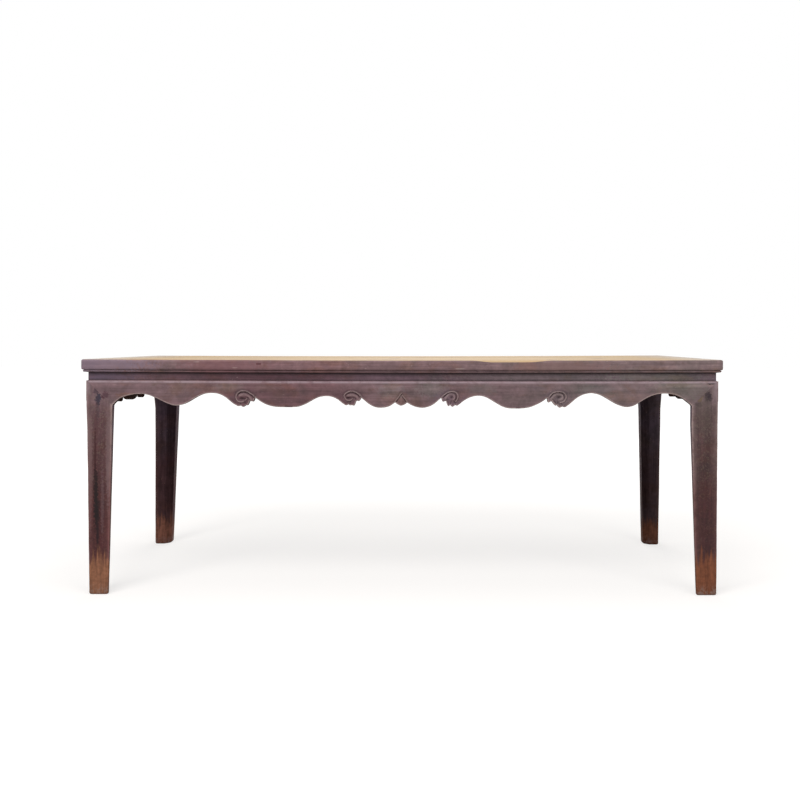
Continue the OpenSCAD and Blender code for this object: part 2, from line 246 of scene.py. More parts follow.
def choose(obj, kind, test):
    """In edit mode, selects the vertices, edges or faces that pass a test."""
    bpy.ops.mesh.select_mode(type=kind)
    bpy.ops.mesh.select_all(action="DESELECT")
    mesh = bmesh.from_edit_mesh(obj.data)
    mesh.normal_update()
    for item in {"VERT": mesh.verts, "EDGE": mesh.edges, "FACE": mesh.faces}[kind]:
        if test(item):
            item.select_set(True)
    mesh.select_flush_mode()
    bmesh.update_edit_mesh(obj.data)


def middle(item):
    """The middle of an edge or face."""
    points = [v.co for v in item.verts]
    return sum(points, Vector()) / len(points)


def cut(point, normal, drop=False):
    """In edit mode, cuts all along a plane, and with drop takes away what lies past it."""
    bpy.ops.mesh.select_all(action="SELECT")
    bpy.ops.mesh.bisect(
        plane_co=point, plane_no=normal, use_fill=drop, clear_outer=drop, threshold=1e-6
    )


def outward():
    """In edit mode, welds doubles and turns all faces outwards."""
    bpy.ops.mesh.select_all(action="SELECT")
    bpy.ops.mesh.remove_doubles(threshold=2e-6)
    bpy.ops.mesh.normals_make_consistent(inside=False)


def carve_away(obj, cutter):
    """Takes a cutter's volume from a piece and removes the cutter."""
    show_alone(obj)
    modifier = obj.modifiers.new("Carve", "BOOLEAN")
    modifier.solver = "EXACT"
    modifier.operation = "DIFFERENCE"
    modifier.object = cutter
    bpy.ops.object.modifier_apply(modifier=modifier.name)
    bpy.data.objects.remove(cutter)


def points_of(obj):
    co = np.empty(len(obj.data.vertices) * 3)
    obj.data.vertices.foreach_get("co", co)
    return co.reshape(-1, 3)


def put_points(obj, co):
    obj.data.vertices.foreach_set("co", co.ravel())
    obj.data.update()


def mark(obj, name, values):
    """Stores one number for each vertex, for the finish to read."""
    layer = obj.data.attributes.get(name) or obj.data.attributes.new(name, "FLOAT", "POINT")
    layer.data.foreach_set("value", np.clip(values, 0, 1).astype(np.float32))


def near_lines(co, lines):
    """How close each point is to any of the lines (start, end, reach), from 1 down to 0."""
    best = np.zeros(len(co))
    for start, end, reach in lines:
        start, along = np.array(start), np.array(end) - np.array(start)
        t = np.clip((co - start) @ along / (along @ along), 0, 1)
        apart = np.linalg.norm(co - start - t[:, None] * along, axis=1)
        best = np.maximum(best, np.exp(-((apart / reach) ** 2)))
    return best


def hand_made(obj, amount, size, seed):
    """Moves the surface in and out a little, as hand planing and long use leave it."""
    worn = np.zeros(len(obj.data.vertices))
    if "wear" in obj.data.attributes:
        obj.data.attributes["wear"].data.foreach_get("value", worn)
    shift = Vector((seed * 3.1, seed * 1.7, seed * 2.3))
    normals = [v.normal.copy() for v in obj.data.vertices]
    chip_size, chip_depth = 18 * MM, 1.1 * MM
    for v, n, w in zip(obj.data.vertices, normals, worn):
        wave = noise.noise(v.co / size + shift)
        chip = max(0.0, noise.noise(v.co / chip_size + shift)) * w
        v.co += n * (amount * (wave - 0.3) - chip_depth * chip)
    obj.data.update()


def copy_of(obj, name, turn=0.0, flip=(1, 1, 1)):
    """A copy with its own mesh, turned about the table's middle or mirrored."""
    made = obj.copy()
    made.data = obj.data.copy()
    made.name = name
    made.data.name = name
    bpy.context.collection.objects.link(made)
    made.rotation_euler = (0, 0, turn)
    made.scale = flip
    show_alone(made)
    bpy.ops.object.transform_apply(location=True, rotation=True, scale=True)
    edit(made)
    outward()
    done()
    return made


def finished(obj, slot, *materials):
    """Shades a piece, gives it its finish and hangs it on the table in its node's place. The old
    table has sagged between its legs, so the top's ends stand a little above its middle. It is
    higher at the right end too, more so at the back, and its top has swollen by a hair."""
    co = points_of(obj)
    co[:, 2] += np.interp(co[:, 2], (TOP_Z - 26 * MM, TOP_Z - 9 * MM), (0, SWELL))
    along, back = co[:, 0] / TOP_X, co[:, 1] / TOP_Y
    bend = SAG * along**2 + (LEAN + TWIST * back) * along
    co[:, 2] += bend * np.interp(co[:, 2], (0, APRON_Z, RAIL_Z), (0, 0.6, 1))
    put_points(obj, co)
    show_alone(obj)
    bpy.ops.object.shade_smooth_by_angle(angle=math.radians(SHADE_ANGLE))
    for material in materials:
        obj.data.materials.append(material)
    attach(obj, "root")
    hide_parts(obj.name.replace("_piece", ""))


# Shapes


def cubic(start, one, two, end, steps):
    """Points of a cubic curve after its start."""
    made = []
    for i in range(1, steps + 1):
        t = i / steps
        s = 1 - t
        made.append(
            [
                a * s**3 + 3 * b * s * s * t + 3 * c * s * t * t + d * t**3
                for a, b, c, d in zip(start, one, two, end)
            ]
        )
    return made


# Lower edges of the aprons as [out from the middle, down from a line 2 mm under the top] in mm.
# A row of one point is a straight cut, a row of three is a curve. The carver drew the two halves
# by hand, so they differ.
EDGE_START = (0, 85.6)
LEFT_EDGE = [
    [(1.5, 87.2), (3, 87.2), (4, 87)], [(11, 86), (19, 81), (24.8, 75.6)],
    [(38, 84), (46, 94.2), (79.5, 94.2)], [(110.5, 94.2), (125.3, 74.6), (147.3, 58.6)],
    [(149.3, 66)], [(153.6, 71)], [(163.4, 69.3)], [(168, 79), (168.5, 84), (171.5, 87.2)],
    [(177, 86), (183, 84), (186.5, 86.6)], [(192.9, 82.7)],
    [(197, 86.5), (200, 86.5), (203.6, 85.4)], [(224.6, 72.4), (235, 53.2), (272, 53.2)],
    [(320, 53.2), (337.5, 92.8), (389.5, 92.8)], [(433, 92.7)],
    [(475.5, 92.7), (499, 79.6), (526.5, 58.6)], [(528.5, 67)], [(531.8, 73.8)], [(544.4, 71.1)],
    [(549, 80), (549.5, 84), (553.3, 87.2)], [(560.4, 86.6)],
    [(564, 92.5), (567, 93.5), (570, 92.5)], [(577.5, 88)],
    [(582, 90.8), (586, 90.8), (593.5, 86.3)], [(619.3, 75.3), (632, 43), (680, 43)],
    [(740, 43), (758, 88.2), (809, 88.2)], [(842, 88.2), (890, 47.2), (932, 47.2)],
    [(965, 47.2), (1000, 56), (1012, 66)], [(1021, 73.5), (1029, 80), (1036, 88.5)],
]
RIGHT_EDGE = [
    [(7, 84.5), (12, 81), (17.2, 75.6)], [(30, 83), (44, 94.1), (71.5, 94.1)],
    [(102.9, 94.1), (119.9, 75.5), (138.9, 59.5)], [(142, 68)], [(145.9, 72.9)], [(155.8, 69.3)],
    [(159, 79), (160.5, 85), (164.8, 89)], [(172, 84.5)], [(175, 89.5), (178, 91), (180.9, 90.8)],
    [(189.9, 84.5)], [(193, 87.5), (196, 87.5), (198.9, 86.3)],
    [(214.9, 73.3), (238.4, 51.3), (275, 51.3)], [(315, 51.3), (341.5, 96.3), (390.5, 96.3)],
    [(424.5, 96.3)], [(456.9, 96.3), (489.5, 80.5), (518, 59.5)], [(519.5, 68)], [(521.6, 74.7)],
    [(526, 74)], [(533.3, 69.3)], [(540, 78), (543, 83), (547.5, 86.3)], [(553.8, 83.6)],
    [(557, 90), (560, 93.6), (563, 93.4)], [(572.6, 89.4)],
    [(577, 92), (581, 92.5), (585.1, 90.8)], [(613, 71.8), (629.4, 42.3), (677, 42.3)],
    [(725, 42.3), (758, 91.4), (805, 91.4)], [(845, 91.4), (868, 43), (938, 43)],
    [(974, 43), (998, 56), (1012, 68)], [(1020, 75), (1029, 80), (1036, 88.5)],
]
SHORT_START = (0, 95)
SHORT_EDGE = [
    [(14, 95), (26, 94), (36, 92)], [(44, 90), (50, 87), (54, 83)], [(58, 76)],
    [(62, 62), (80, 54), (102, 54)], [(122, 54), (132, 60), (139, 68)],
    [(141, 82), (144, 92), (149, 94.5)], [(156, 91)], [(160, 82)], [(168, 78)],
    [(176, 82), (186, 81), (194, 78)], [(222, 64), (262, 46), (312, 46)],
    [(352, 46), (380, 60), (398, 88.5)],
]

# Carved strokes of each scroll as [out, down] in mm from its cusp: the rim that curls round it,
# the groove inside the rim, the leaf that runs from the first tooth into the curl, the hollow
# as (out, down, half width, half height, depth), and cuts that fan out to the teeth
LEFT_OUTER = {
    "rim": [(1.8, -3.6), (8, -8.9), (16, -14.3), (24, -19.5), (35, -22.9), (44, -23.8),
            (53, -21.6), (61, -16), (65.8, -8.9), (67.2, -0.9), (64.5, 8), (59, 13.6),
            (50, 16.2), (42, 14.4), (35, 10.6), (28.5, 4.3)],
    "groove": [(3.5, 0.5), (8, -3.8), (15.5, -9.5), (26, -16), (38, -19), (48, -18.4),
               (57, -13), (61, -6)],
    "leaf": [(55, -7.5), (44, -9.3), (31, -9), (22.5, -4.5), (15, 3.6), (8, 10.7)],
    "hollow": (45.5, 4.3, 12, 4.6, 5.5),
    "cuts": [[(17.9, 12), (22, 4), (28, 0)], [(34, 28), (35, 21), (36, 15)],
             [(51, 29), (51.5, 24), (51, 19.5)]],
}
LEFT_INNER = {
    "rim": [(0, -5), (6.3, -11.6), (15.2, -17.8), (24, -21.6), (35, -22.9), (45.6, -20.8),
            (55, -15), (60, -8), (58.3, -0.9), (53, 6.2), (45.6, 9.6), (38.5, 8.9), (31, 4.6)],
    "groove": [(4.5, -0.9), (9.8, -7.2), (17, -13.4), (27.7, -17.5), (38.5, -17.5),
               (47.4, -14.3), (54, -8)],
    "leaf": [(48, -8), (37, -9.4), (26, -8.6), (17, -5), (9.8, 4), (6.3, 10)],
    "hollow": (44.5, 1.5, 10, 4.2, 5.5),
    "cuts": [[(16, 10), (20, 3), (27, -1)], [(40, 24), (39, 18), (38, 13)],
             [(46, 23), (47, 18), (46, 13.5)]],
}
RIGHT_INNER = {
    "rim": [(2.7, -3.6), (11.6, -11.6), (18.8, -17), (27, -21), (35, -23.3), (45.6, -23.3),
            (54.6, -18.8), (59.2, -11.6), (60, -3.6), (57.3, 5.4), (52, 12)],
    "groove": [(8, -3), (17, -10.5), (25, -16.5), (38.5, -18.4), (47.4, -15.6), (53, -8.9),
               (54, -1), (51.5, 6)],
    "leaf": [(13, 4), (18.8, -3.6), (24, -10.2), (31.3, -14.2), (40.2, -14), (46.8, -9.6),
             (48.3, -3), (46, 3.5)],
    "hollow": (38, -2.2, 6.5, 5, 4.5),
    "cuts": [[(16.9, 9), (22, 6), (29, 4)], [(33, 24), (35, 16), (37, 9)],
             [(51, 24), (49, 16), (45, 10)], [(26, 27), (25, 17), (20, 8)]],
}
RIGHT_OUTER = {
    "rim": [(6.3, -3.6), (10.7, -9.8), (15.2, -14.3), (22.4, -19.7), (33, -22.4),
            (45.6, -22.9), (56.3, -20.6), (63.5, -15.2), (67.1, -7.2), (66.2, 1.8),
            (61.7, 9.8), (54.6, 14.3), (45.6, 15.2)],
    "groove": [(12, -3.5), (17, -10.5), (24, -15.8), (33, -18.6), (44, -19), (54.5, -16.2),
               (60, -9), (60.5, 0)],
    "leaf": [(15, 4), (20.6, -3.6), (25, -10.2), (33, -14.2), (43.8, -14.4), (52, -10.8),
             (55.5, -4), (52, 3), (46, 6)],
    "hollow": (41.5, -2.6, 8, 4.6, 4),
    "cuts": [[(15.3, 9.5), (19.5, 2), (24, -2)], [(20.6, 4.5), (25, 10), (29.5, 17)],
             [(35.8, 24), (37, 17), (38, 11)], [(54, 29), (53, 23.5), (51, 18.5)]],
}

# The pointed drop in the middle: two ribs that meet in a point over it, in mm from its axis
DROP_X = -3.8
DROP_RIB = [(21.5, 72.5), (17.5, 67), (11.5, 60), (5.5, 52), (1.2, 44.5), (0, 42)]
DROP_GROOVE = [(17.5, 74), (13, 66.5), (7.5, 59), (2.6, 51), (0, 47)]
DROP_LEAF = [(0, 84), (0, 74), (0, 64), (0, 58)]


def outline(start, rows):
    """The corners and curves of a lower edge as points."""
    made = [list(start)]
    for row in rows:
        made += [list(row[0])] if len(row) == 1 else cubic(made[-1], *row, steps=14)
    return np.array(made) + (0, DRAWN_FROM)


def smooth_stroke(points, steps=5):
    """A stroke's points joined by a flowing curve."""
    points = [np.array(p, float) for p in points]
    ends = [2 * points[0] - points[1], *points, 2 * points[-1] - points[-2]]
    made = [points[0]]
    for a, b, c, d in zip(ends, ends[1:], ends[2:], ends[3:]):
        made += cubic(b, b + (c - a) / 6, c - (d - b) / 6, c, steps)
    return np.array(made)


def stroke_distance(flat, stroke):
    """Distance of each point of the face from a stroke."""
    best = np.full(len(flat), 1e9)
    for a, b in zip(stroke, stroke[1:]):
        along = b - a
        t = np.clip((flat - a) @ along / max(along @ along, 1e-9), 0, 1)
        best = np.minimum(best, np.linalg.norm(flat - a - t[:, None] * along, axis=1))
    return best


def bump(apart, width):
    return np.exp(-((apart / width) ** 2))


def add_stroke(flat, fields, stroke, width, height, around=0.0, rub=1.0):
    """Raises or sinks the face along a stroke, with wear on what is raised, and dirt and painted
    shade in what is sunk. Width and height are in mm, around is how far the ground beside it is
    sunk and darkened with painted shade, and rub is how much of the colour is worn off."""
    stroke = smooth_stroke(stroke)
    margin = 16
    low, high = stroke.min(0) - margin, stroke.max(0) + margin
    near = np.all((flat > low) & (flat < high), axis=1)
    apart = stroke_distance(flat[near], stroke)
    fields["relief"][near] += height * bump(apart, width)
    # Beside a raised stroke the ground is sunk, and darkened with painted shade
    if around:
        beside = bump(apart - 2.6 * width, 1.6 * width)
        fields["relief"][near] -= around * beside
        fields["dirt"][near] = np.maximum(fields["dirt"][near], 0.35 * beside)
    # What is raised is rubbed, and what is sunk is darkened with dirt and painted shade
    key = "wear" if height > 0 else "dirt"
    fields[key][near] = np.maximum(fields[key][near], rub * bump(apart, width))


def add_scroll(flat, fields, scroll, cusp):
    """Carves one scroll into the face beside its cusp."""
    local = flat - np.array(cusp)
    out, down, half_w, half_h, depth = scroll["hollow"]
    reach = np.hypot((local[:, 0] - out) / half_w, (local[:, 1] - down) / half_h)
    # The hollow is sunk, and darkened with painted shade
    fields["relief"] -= depth * bump(reach, 0.85)
    fields["dirt"] = np.maximum(fields["dirt"], bump(reach, 0.9))
    add_stroke(local, fields, scroll["leaf"], 3.9, 2.2, rub=0.4)
    add_stroke(local, fields, scroll["groove"], 1.7, -2.6)
    for line in scroll["cuts"]:
        add_stroke(local, fields, line, 1.3, -1.4)
    add_stroke(local, fields, scroll["rim"], 1.6, 2.4, around=1.2, rub=0.85)


def add_drop(flat, fields):
    """Carves the pointed drop in the middle of an apron."""
    for side in (-1, 1):
        groove = [(DROP_X + side * x, y) for x, y in DROP_GROOVE]
        rib = [(DROP_X + side * x, y) for x, y in DROP_RIB]
        add_stroke(flat, fields, groove, 1.6, -2.2)
        add_stroke(flat, fields, rib, 1.6, 1.8, around=0.9, rub=0.6)
    add_stroke(flat, fields, [(DROP_X + x, y) for x, y in DROP_LEAF], 3.0, 1.5, rub=0.15)


def stations(edges, fine):
    """Places along an apron in mm: every corner of its edge that is further from the last than
    the least step, then steps close enough for the carving, and wider ones where it is plain."""
    least, carved, plain = 0.35, 1.4, 6.0
    corners = sorted({round(x, 3) for x in edges})
    made = [corners[0]]
    for a, b in zip(corners, corners[1:]):
        if b - a < least:
            continue
        step = carved if any(low < (a + b) / 2 < high for low, high in fine) else plain
        count = max(1, math.ceil((b - a) / step))
        made += [a + (b - a) * i / count for i in range(1, count + 1)]
    return np.array(made)


def row_depths(depth):
    """Depths in mm of the rows of one column of the face, from the top down to the edge: close
    together round the shoulder and the lower arris, and squeezed where the apron is shallow."""
    squeeze = min(1.0, depth / 30)
    top = squeeze * np.array([0, 0.25, 0.7, 1.4, 2.4, 3.8, 5.6, SHOULDER])
    low = depth - squeeze * np.array([5.2, 3.6, 2.5, 1.7, 1.0, 0.5, 0.15, 0])
    mid = np.linspace(top[-1], low[0], 34)[1:-1]
    return np.concatenate([top, mid, low])


def carved_face(half, corner, edges, scrolls, with_drop):
    """An apron's face in mm, as rows from its lower edge up: how many rows and columns, how far
    out and down each place is, how far it is set back, how worn and dirty it is, and its painted
    shade and highlight.
    Half is the apron's half length, corner is where the legs' mitres start, and edges are those
    of its two halves."""
    outer = np.linspace(corner, half, 13)
    edge = np.vstack([edges[0][::-1] * [-1, 1], edges[1][1:]])
    edge = edge[np.abs(edge[:, 0]) <= corner]
    edge = edge[np.argsort(edge[:, 0], kind="stable")]
    fine = [(DROP_X - DROP_W, DROP_X + DROP_W)] if with_drop else []
    for side, cusp, _ in scrolls:
        ends = (side * (cusp[0] - SCROLL_REACH[0]), side * (cusp[0] + SCROLL_REACH[1]))
        fine.append(sorted(ends))
    across = stations([*edge[:, 0], *outer, *-outer], fine)
    depth = np.interp(across, *edge.T)
    past = np.abs(across) > corner
    depth[past] = (half - np.abs(across[past])) / (half - corner) * MITRE / MM
    down = np.array([row_depths(d)[::-1] for d in depth]).T
    shape = down.shape
    out, down = np.tile(across, shape[0]), down.ravel()
    flat = np.column_stack([out, down])
    fields = {key: np.zeros(len(flat)) for key in ("relief", *LAYERS)}
    drawn = flat - (0, DRAWN_FROM)
    for side, cusp, scroll in scrolls:
        add_scroll(drawn * [side, 1], fields, scroll, cusp)
    if with_drop:
        add_drop(drawn, fields)

    # Worn lower arris, dropped shoulder with its painted highlight, and the joint with the legs
    apart, margin = np.full(len(flat), 1e9), 14
    for ends in zip(edge, edge[1:]):
        near = np.abs(out - ends[0][0]) < margin
        apart[near] = np.minimum(apart[near], stroke_distance(flat[near], ends))
    round_off = np.clip(LOWER_ARRIS - apart, 0, LOWER_ARRIS)
    fields["relief"] -= LOWER_ARRIS - np.sqrt(LOWER_ARRIS**2 - round_off**2)
    fields["wear"] = np.maximum(fields["wear"], bump(np.maximum(apart - 1.8, 0), 2.0))
    shoulder = np.clip((SHOULDER - down) / SHOULDER, 0, 1)
    set_back = RECESS / MM * (1 - np.sqrt(1 - shoulder**2))
    set_back -= np.clip(fields.pop("relief"), -CARVED, RAISED)
    # Painted highlight along the shoulder, where light from above catches it
    fields["painted_highlight"] = bump(down - HIGHLIGHT_Z, HIGHLIGHT_W)
    joint = (half - np.abs(out)) * MITRE / MM / (half - corner) - down
    fields["dirt"] = np.maximum(fields["dirt"], 0.2 * bump(joint, 1.2) * (np.abs(out) > corner))
    return shape, out, down, set_back, fields


def apron_piece(name, half_x, half_y, edges, scrolls, with_drop):
    """An apron along X at the front of a rectangle: its carved face, pushed back to full thickness
    and mitred."""
    half, corner = half_x / MM, (half_x - LEG_W) / MM
    face, back = -half_y, APRON_T - half_y
    shape, out, down, set_back, fields = carved_face(half, corner, edges, scrolls, with_drop)
    bpy.ops.object.select_all(action="DESELECT")
    bpy.ops.mesh.primitive_grid_add(x_subdivisions=shape[1] - 1, y_subdivisions=shape[0] - 1)
    obj = taken(name)
    put_points(obj, np.column_stack([out * MM, face + set_back * MM, APRON_Z - down * MM]))
    for key in LAYERS:
        mark(obj, key, fields[key])

    edit(obj)
    bpy.ops.mesh.select_all(action="SELECT")
    bpy.ops.mesh.remove_doubles(threshold=NEAR)
    bpy.ops.mesh.extrude_region_move(TRANSFORM_OT_translate={"value": (0, APRON_T, 0)})
    bpy.ops.transform.resize(value=(1, 0, 1), center_override=(0, back, 0))
    outward()
    for side in (-1, 1):
        cut((side * half * MM, face, 0), (side, 1, 0), drop=True)
    choose(obj, "FACE", lambda f: f.normal.y > 0.999 and middle(f).y > back - NEAR)
    bpy.ops.mesh.dissolve_faces()
    cut((0, back - BACK_BEVEL, 0), BACK)
    outward()
    done()

    # The lower edge is bevelled at the back, so that it looks thin
    co = points_of(obj)
    low_back = (co[:, 1] > back - NEAR) & (co[:, 2] < APRON_Z - 25 * MM)
    ease = np.clip((corner * MM - np.abs(co[:, 0])) / (15 * MM), 0, 1)
    co[low_back, 2] += (BACK_BEVEL * ease)[low_back]
    put_points(obj, co)
    behind = co[:, 1] > face + 12 * MM
    for key in LAYERS:
        values = np.empty(len(co))
        obj.data.attributes[key].data.foreach_get("value", values)
        values[behind] *= 0.25
        mark(obj, key, values)
    for p in obj.data.polygons:
        if p.center.y > face + 7 * MM and p.normal.y > -0.2 and p.center.z < APRON_Z - 8 * MM:
            p.material_index = 1
    return obj


def rail_section():
    """Section of a rail as [in from its edge, height]: round arris, upright, quarter round, bead,
    undercut, groove for the waist's tongue and groove for the boards."""
    top, quarter_d, quarter_h, bead_r = TOP_Z / MM, 4, 9, 3.6
    upright, bead_x = 27, 8.6
    groove, groove_d = (23.7, 32.3), 8.3
    board_d, slack, inner_arris = 12, 0.3, 1.2
    bead_z = top - upright - quarter_h - 1 - bead_r
    low, wide = RAIL_Z / MM, RAIL_W / MM
    board, tongue = BOARD_Z / MM, TONGUE_T / MM
    made = []
    for i in range(7):
        a = math.radians(15 * i)
        made.append((ARRIS * (1 - math.sin(a)), top - ARRIS * (1 - math.cos(a))))
    for i in range(4):
        made.append((0, top - ARRIS - (upright - ARRIS) * (i + 1) / 4))
    for i in range(1, 8):
        a = math.radians(90 / 7 * i)
        made.append((quarter_d * (1 - math.cos(a)), top - upright - quarter_h * math.sin(a)))
    for i in range(9):
        a = math.radians(22.5 * i)
        made.append((bead_x - bead_r * math.sin(a), bead_z + bead_r * math.cos(a)))
    made += [(20, low), (groove[0], low), (groove[0], low + groove_d)]
    made += [(groove[1], low + groove_d), (groove[1], low)]
    made += [(60, low), (wide, low), (wide, board - slack), (wide - board_d, board - slack)]
    made += [(wide - board_d, board + tongue + slack), (wide, board + tongue + slack)]
    made += [(wide, top - inner_arris), (wide - inner_arris, top)]
    made += [(82, top), (56, top), (30, top)]
    return made


def moulding(name, section, half_x, half_y, cuts):
    """A mitred length of moulding along X, at the front of a rectangle, left in edit mode."""
    bpy.ops.object.select_all(action="DESELECT")
    bpy.ops.mesh.primitive_circle_add(vertices=len(section), radius=1, fill_type="NGON")
    obj = taken(name)
    put_points(obj, np.array([(-half_x, d * MM - half_y, z * MM) for d, z in section]))
    edit(obj)
    bpy.ops.mesh.select_all(action="SELECT")
    bpy.ops.mesh.extrude_region_move(TRANSFORM_OT_translate={"value": (2 * half_x, 0, 0)})
    outward()
    choose(obj, "EDGE", lambda e: abs(e.verts[0].co.x - e.verts[1].co.x) > half_x)
    bpy.ops.mesh.subdivide(number_cuts=cuts)
    for side in (-1, 1):
        cut((side * (half_x - MITRE_GAP), -half_y, 0), (side, 1, 0), drop=True)
    return obj


def rail_piece(name, half_x, half_y, cuts):
    """One rail of the top's frame, rounded where it meets the next one."""
    obj = moulding(name, rail_section(), half_x, half_y, cuts)
    round_r = 5 * MM
    for side in (-1, 1):
        for turn in (15, 30):
            a = math.radians(turn)
            normal = Vector((side * math.sin(a), -math.cos(a), 0))
            centre = Vector((side * (half_x - round_r), round_r - half_y, 0))
            cut(centre + normal * round_r, normal, drop=True)
    outward()
    done()
    return obj


def rail_marks(obj, half_x, half_y):
    """Where the moulding is rubbed, and dirt and painted shade in and under it."""
    co = points_of(obj)
    top, front = TOP_Z, -half_y

    def line(inward, below, reach):
        y, z = front + inward * MM, top - below * MM
        return (-half_x, y, z), (half_x, y, z), reach * MM

    mark(obj, "wear", 0.15 * near_lines(co, [line(1.8, 1.8, 2.0)]))
    # Painted shade in the groove, under the bead and the rail, and on the bead itself
    sunk = near_lines(co, [line(8, 36.8, 2.6), line(11, 45, 3.4), line(20, 47, 8)])
    bead = 0.42 * near_lines(co, [line(6, 40.5, 4)])
    mark(obj, "dirt", np.maximum(sunk, bead))


def turned(obj, quarter):
    """Turns a piece built at the front by quarters, to another side."""
    obj.rotation_euler = (0, 0, quarter * math.pi / 2)
    show_alone(obj)
    bpy.ops.object.transform_apply(location=True, rotation=True, scale=True)


# Finishes

WHITE = (1, 1, 1, 1)
EVEN = (1, 1, 1)
# Settings that many nodes share: a smooth range, a mix and a product of colours, and sums
SMOOTH = {"interpolation_type": "SMOOTHSTEP"}
MIX = {"data_type": "RGBA", "out": 2}
TINT = {"blend_type": "MULTIPLY", **MIX}
PLUS = {"operation": "ADD"}
MINUS = {"operation": "SUBTRACT"}
TIMES = {"operation": "MULTIPLY"}
UNSIGNED = {"operation": "ABSOLUTE"}
LARGER = {"operation": "MAXIMUM"}


def rgba(colour):
    return (*colour[:3], 1)


def adder(owner):
    """Empties the nodes of a material or world, and gives the function that adds to them."""
    owner.use_nodes = True
    tree = owner.node_tree
    tree.nodes.clear()

    def add(kind, inputs=(), out=0, **settings):
        """Adds a node with its settings, fills its inputs with values or links, and gives one
        of its outputs, or all of them where out is None."""
        node = tree.nodes.new("ShaderNode" + kind)
        for key, value in settings.items():
            setattr(node, key, value)
        for key, value in inputs.items() if isinstance(inputs, dict) else enumerate(inputs):
            if isinstance(value, bpy.types.NodeSocket):
                tree.links.new(value, node.inputs[key])
            else:
                node.inputs[key].default_value = value
        return node.outputs if out is None else node.outputs[out]

    return add


def new_material(name):
    """A material, the function that adds its nodes, and the place on the piece."""
    material = bpy.data.materials.new(name)
    add = adder(material)
    return material, add, add("TexCoord", out="Object")


def close_material(add, colour, roughness, height, strength, distance, specular=0.25):
    """The surface itself: its colour, sheen and fine relief."""
    relief = {"Strength": strength, "Distance": distance, "Height": height}
    surface = {"Base Color": colour, "Roughness": roughness, "Normal": add("Bump", relief)}
    surface.update({"Specular IOR Level": specular, "IOR": 1.5})
    add("OutputMaterial", (add("BsdfPrincipled", surface),), out=None)


def along(axis, across, grain):
    """Scales for a pattern that is fine across the grain and long with it, per metre."""
    return [grain if "XYZ"[i] == axis else across for i in range(3)]


def clouds(add, place, detail, rough, twist=0.0, scale=1.0, stretch=EVEN, shift=(0, 0, 0), span=()):
    """A cloudy pattern between 0 and 1, moved, and stretched to run with the grain. Span stretches
    a part of it smoothly to other values: it gives the part's ends and the values there."""
    where = add("Mapping", {0: place, 1: shift, 3: stretch})
    inputs = {"Vector": where, "Scale": scale, "Detail": detail, "Roughness": rough}
    pattern = add("TexNoise", {**inputs, "Distortion": twist})
    return add("MapRange", (pattern, *span), **SMOOTH) if span else pattern


def shaded(add, colour, light):
    """A colour made lighter or darker by a factor."""
    grey = add("CombineColor", (light, light, light))
    return add("Mix", {0: 1.0, 6: colour, 7: grey}, **TINT)


def marked(add, place, colour, marks):
    """Single marks on a colour, ragged ovals: marks gives their place and half size along Y, and
    then for each its place and half sizes along X and Z, its colour and its strength."""
    if not marks:
        return colour
    y, half_y, ovals = marks
    ragged = clouds(add, place, 4, 0.65, scale=120, span=(0.25, 0.75, -0.45, 0.45))
    for x, z, half_x, half_z, code, strength in ovals:
        away = add("VectorMath", (place, (x, y, z)), **MINUS)
        away = add("VectorMath", (away, (half_x, half_y, half_z)), operation="DIVIDE")
        away = add("VectorMath", (away,), "Value", operation="LENGTH")
        away = add("Math", (away, ragged), **PLUS)
        here = add("MapRange", (away, 0.55, 1.25, strength, 0.0), **SMOOTH)
        colour = add("Mix", {0: here, 6: colour, 7: rgba(linear(code))}, **MIX)
    return colour


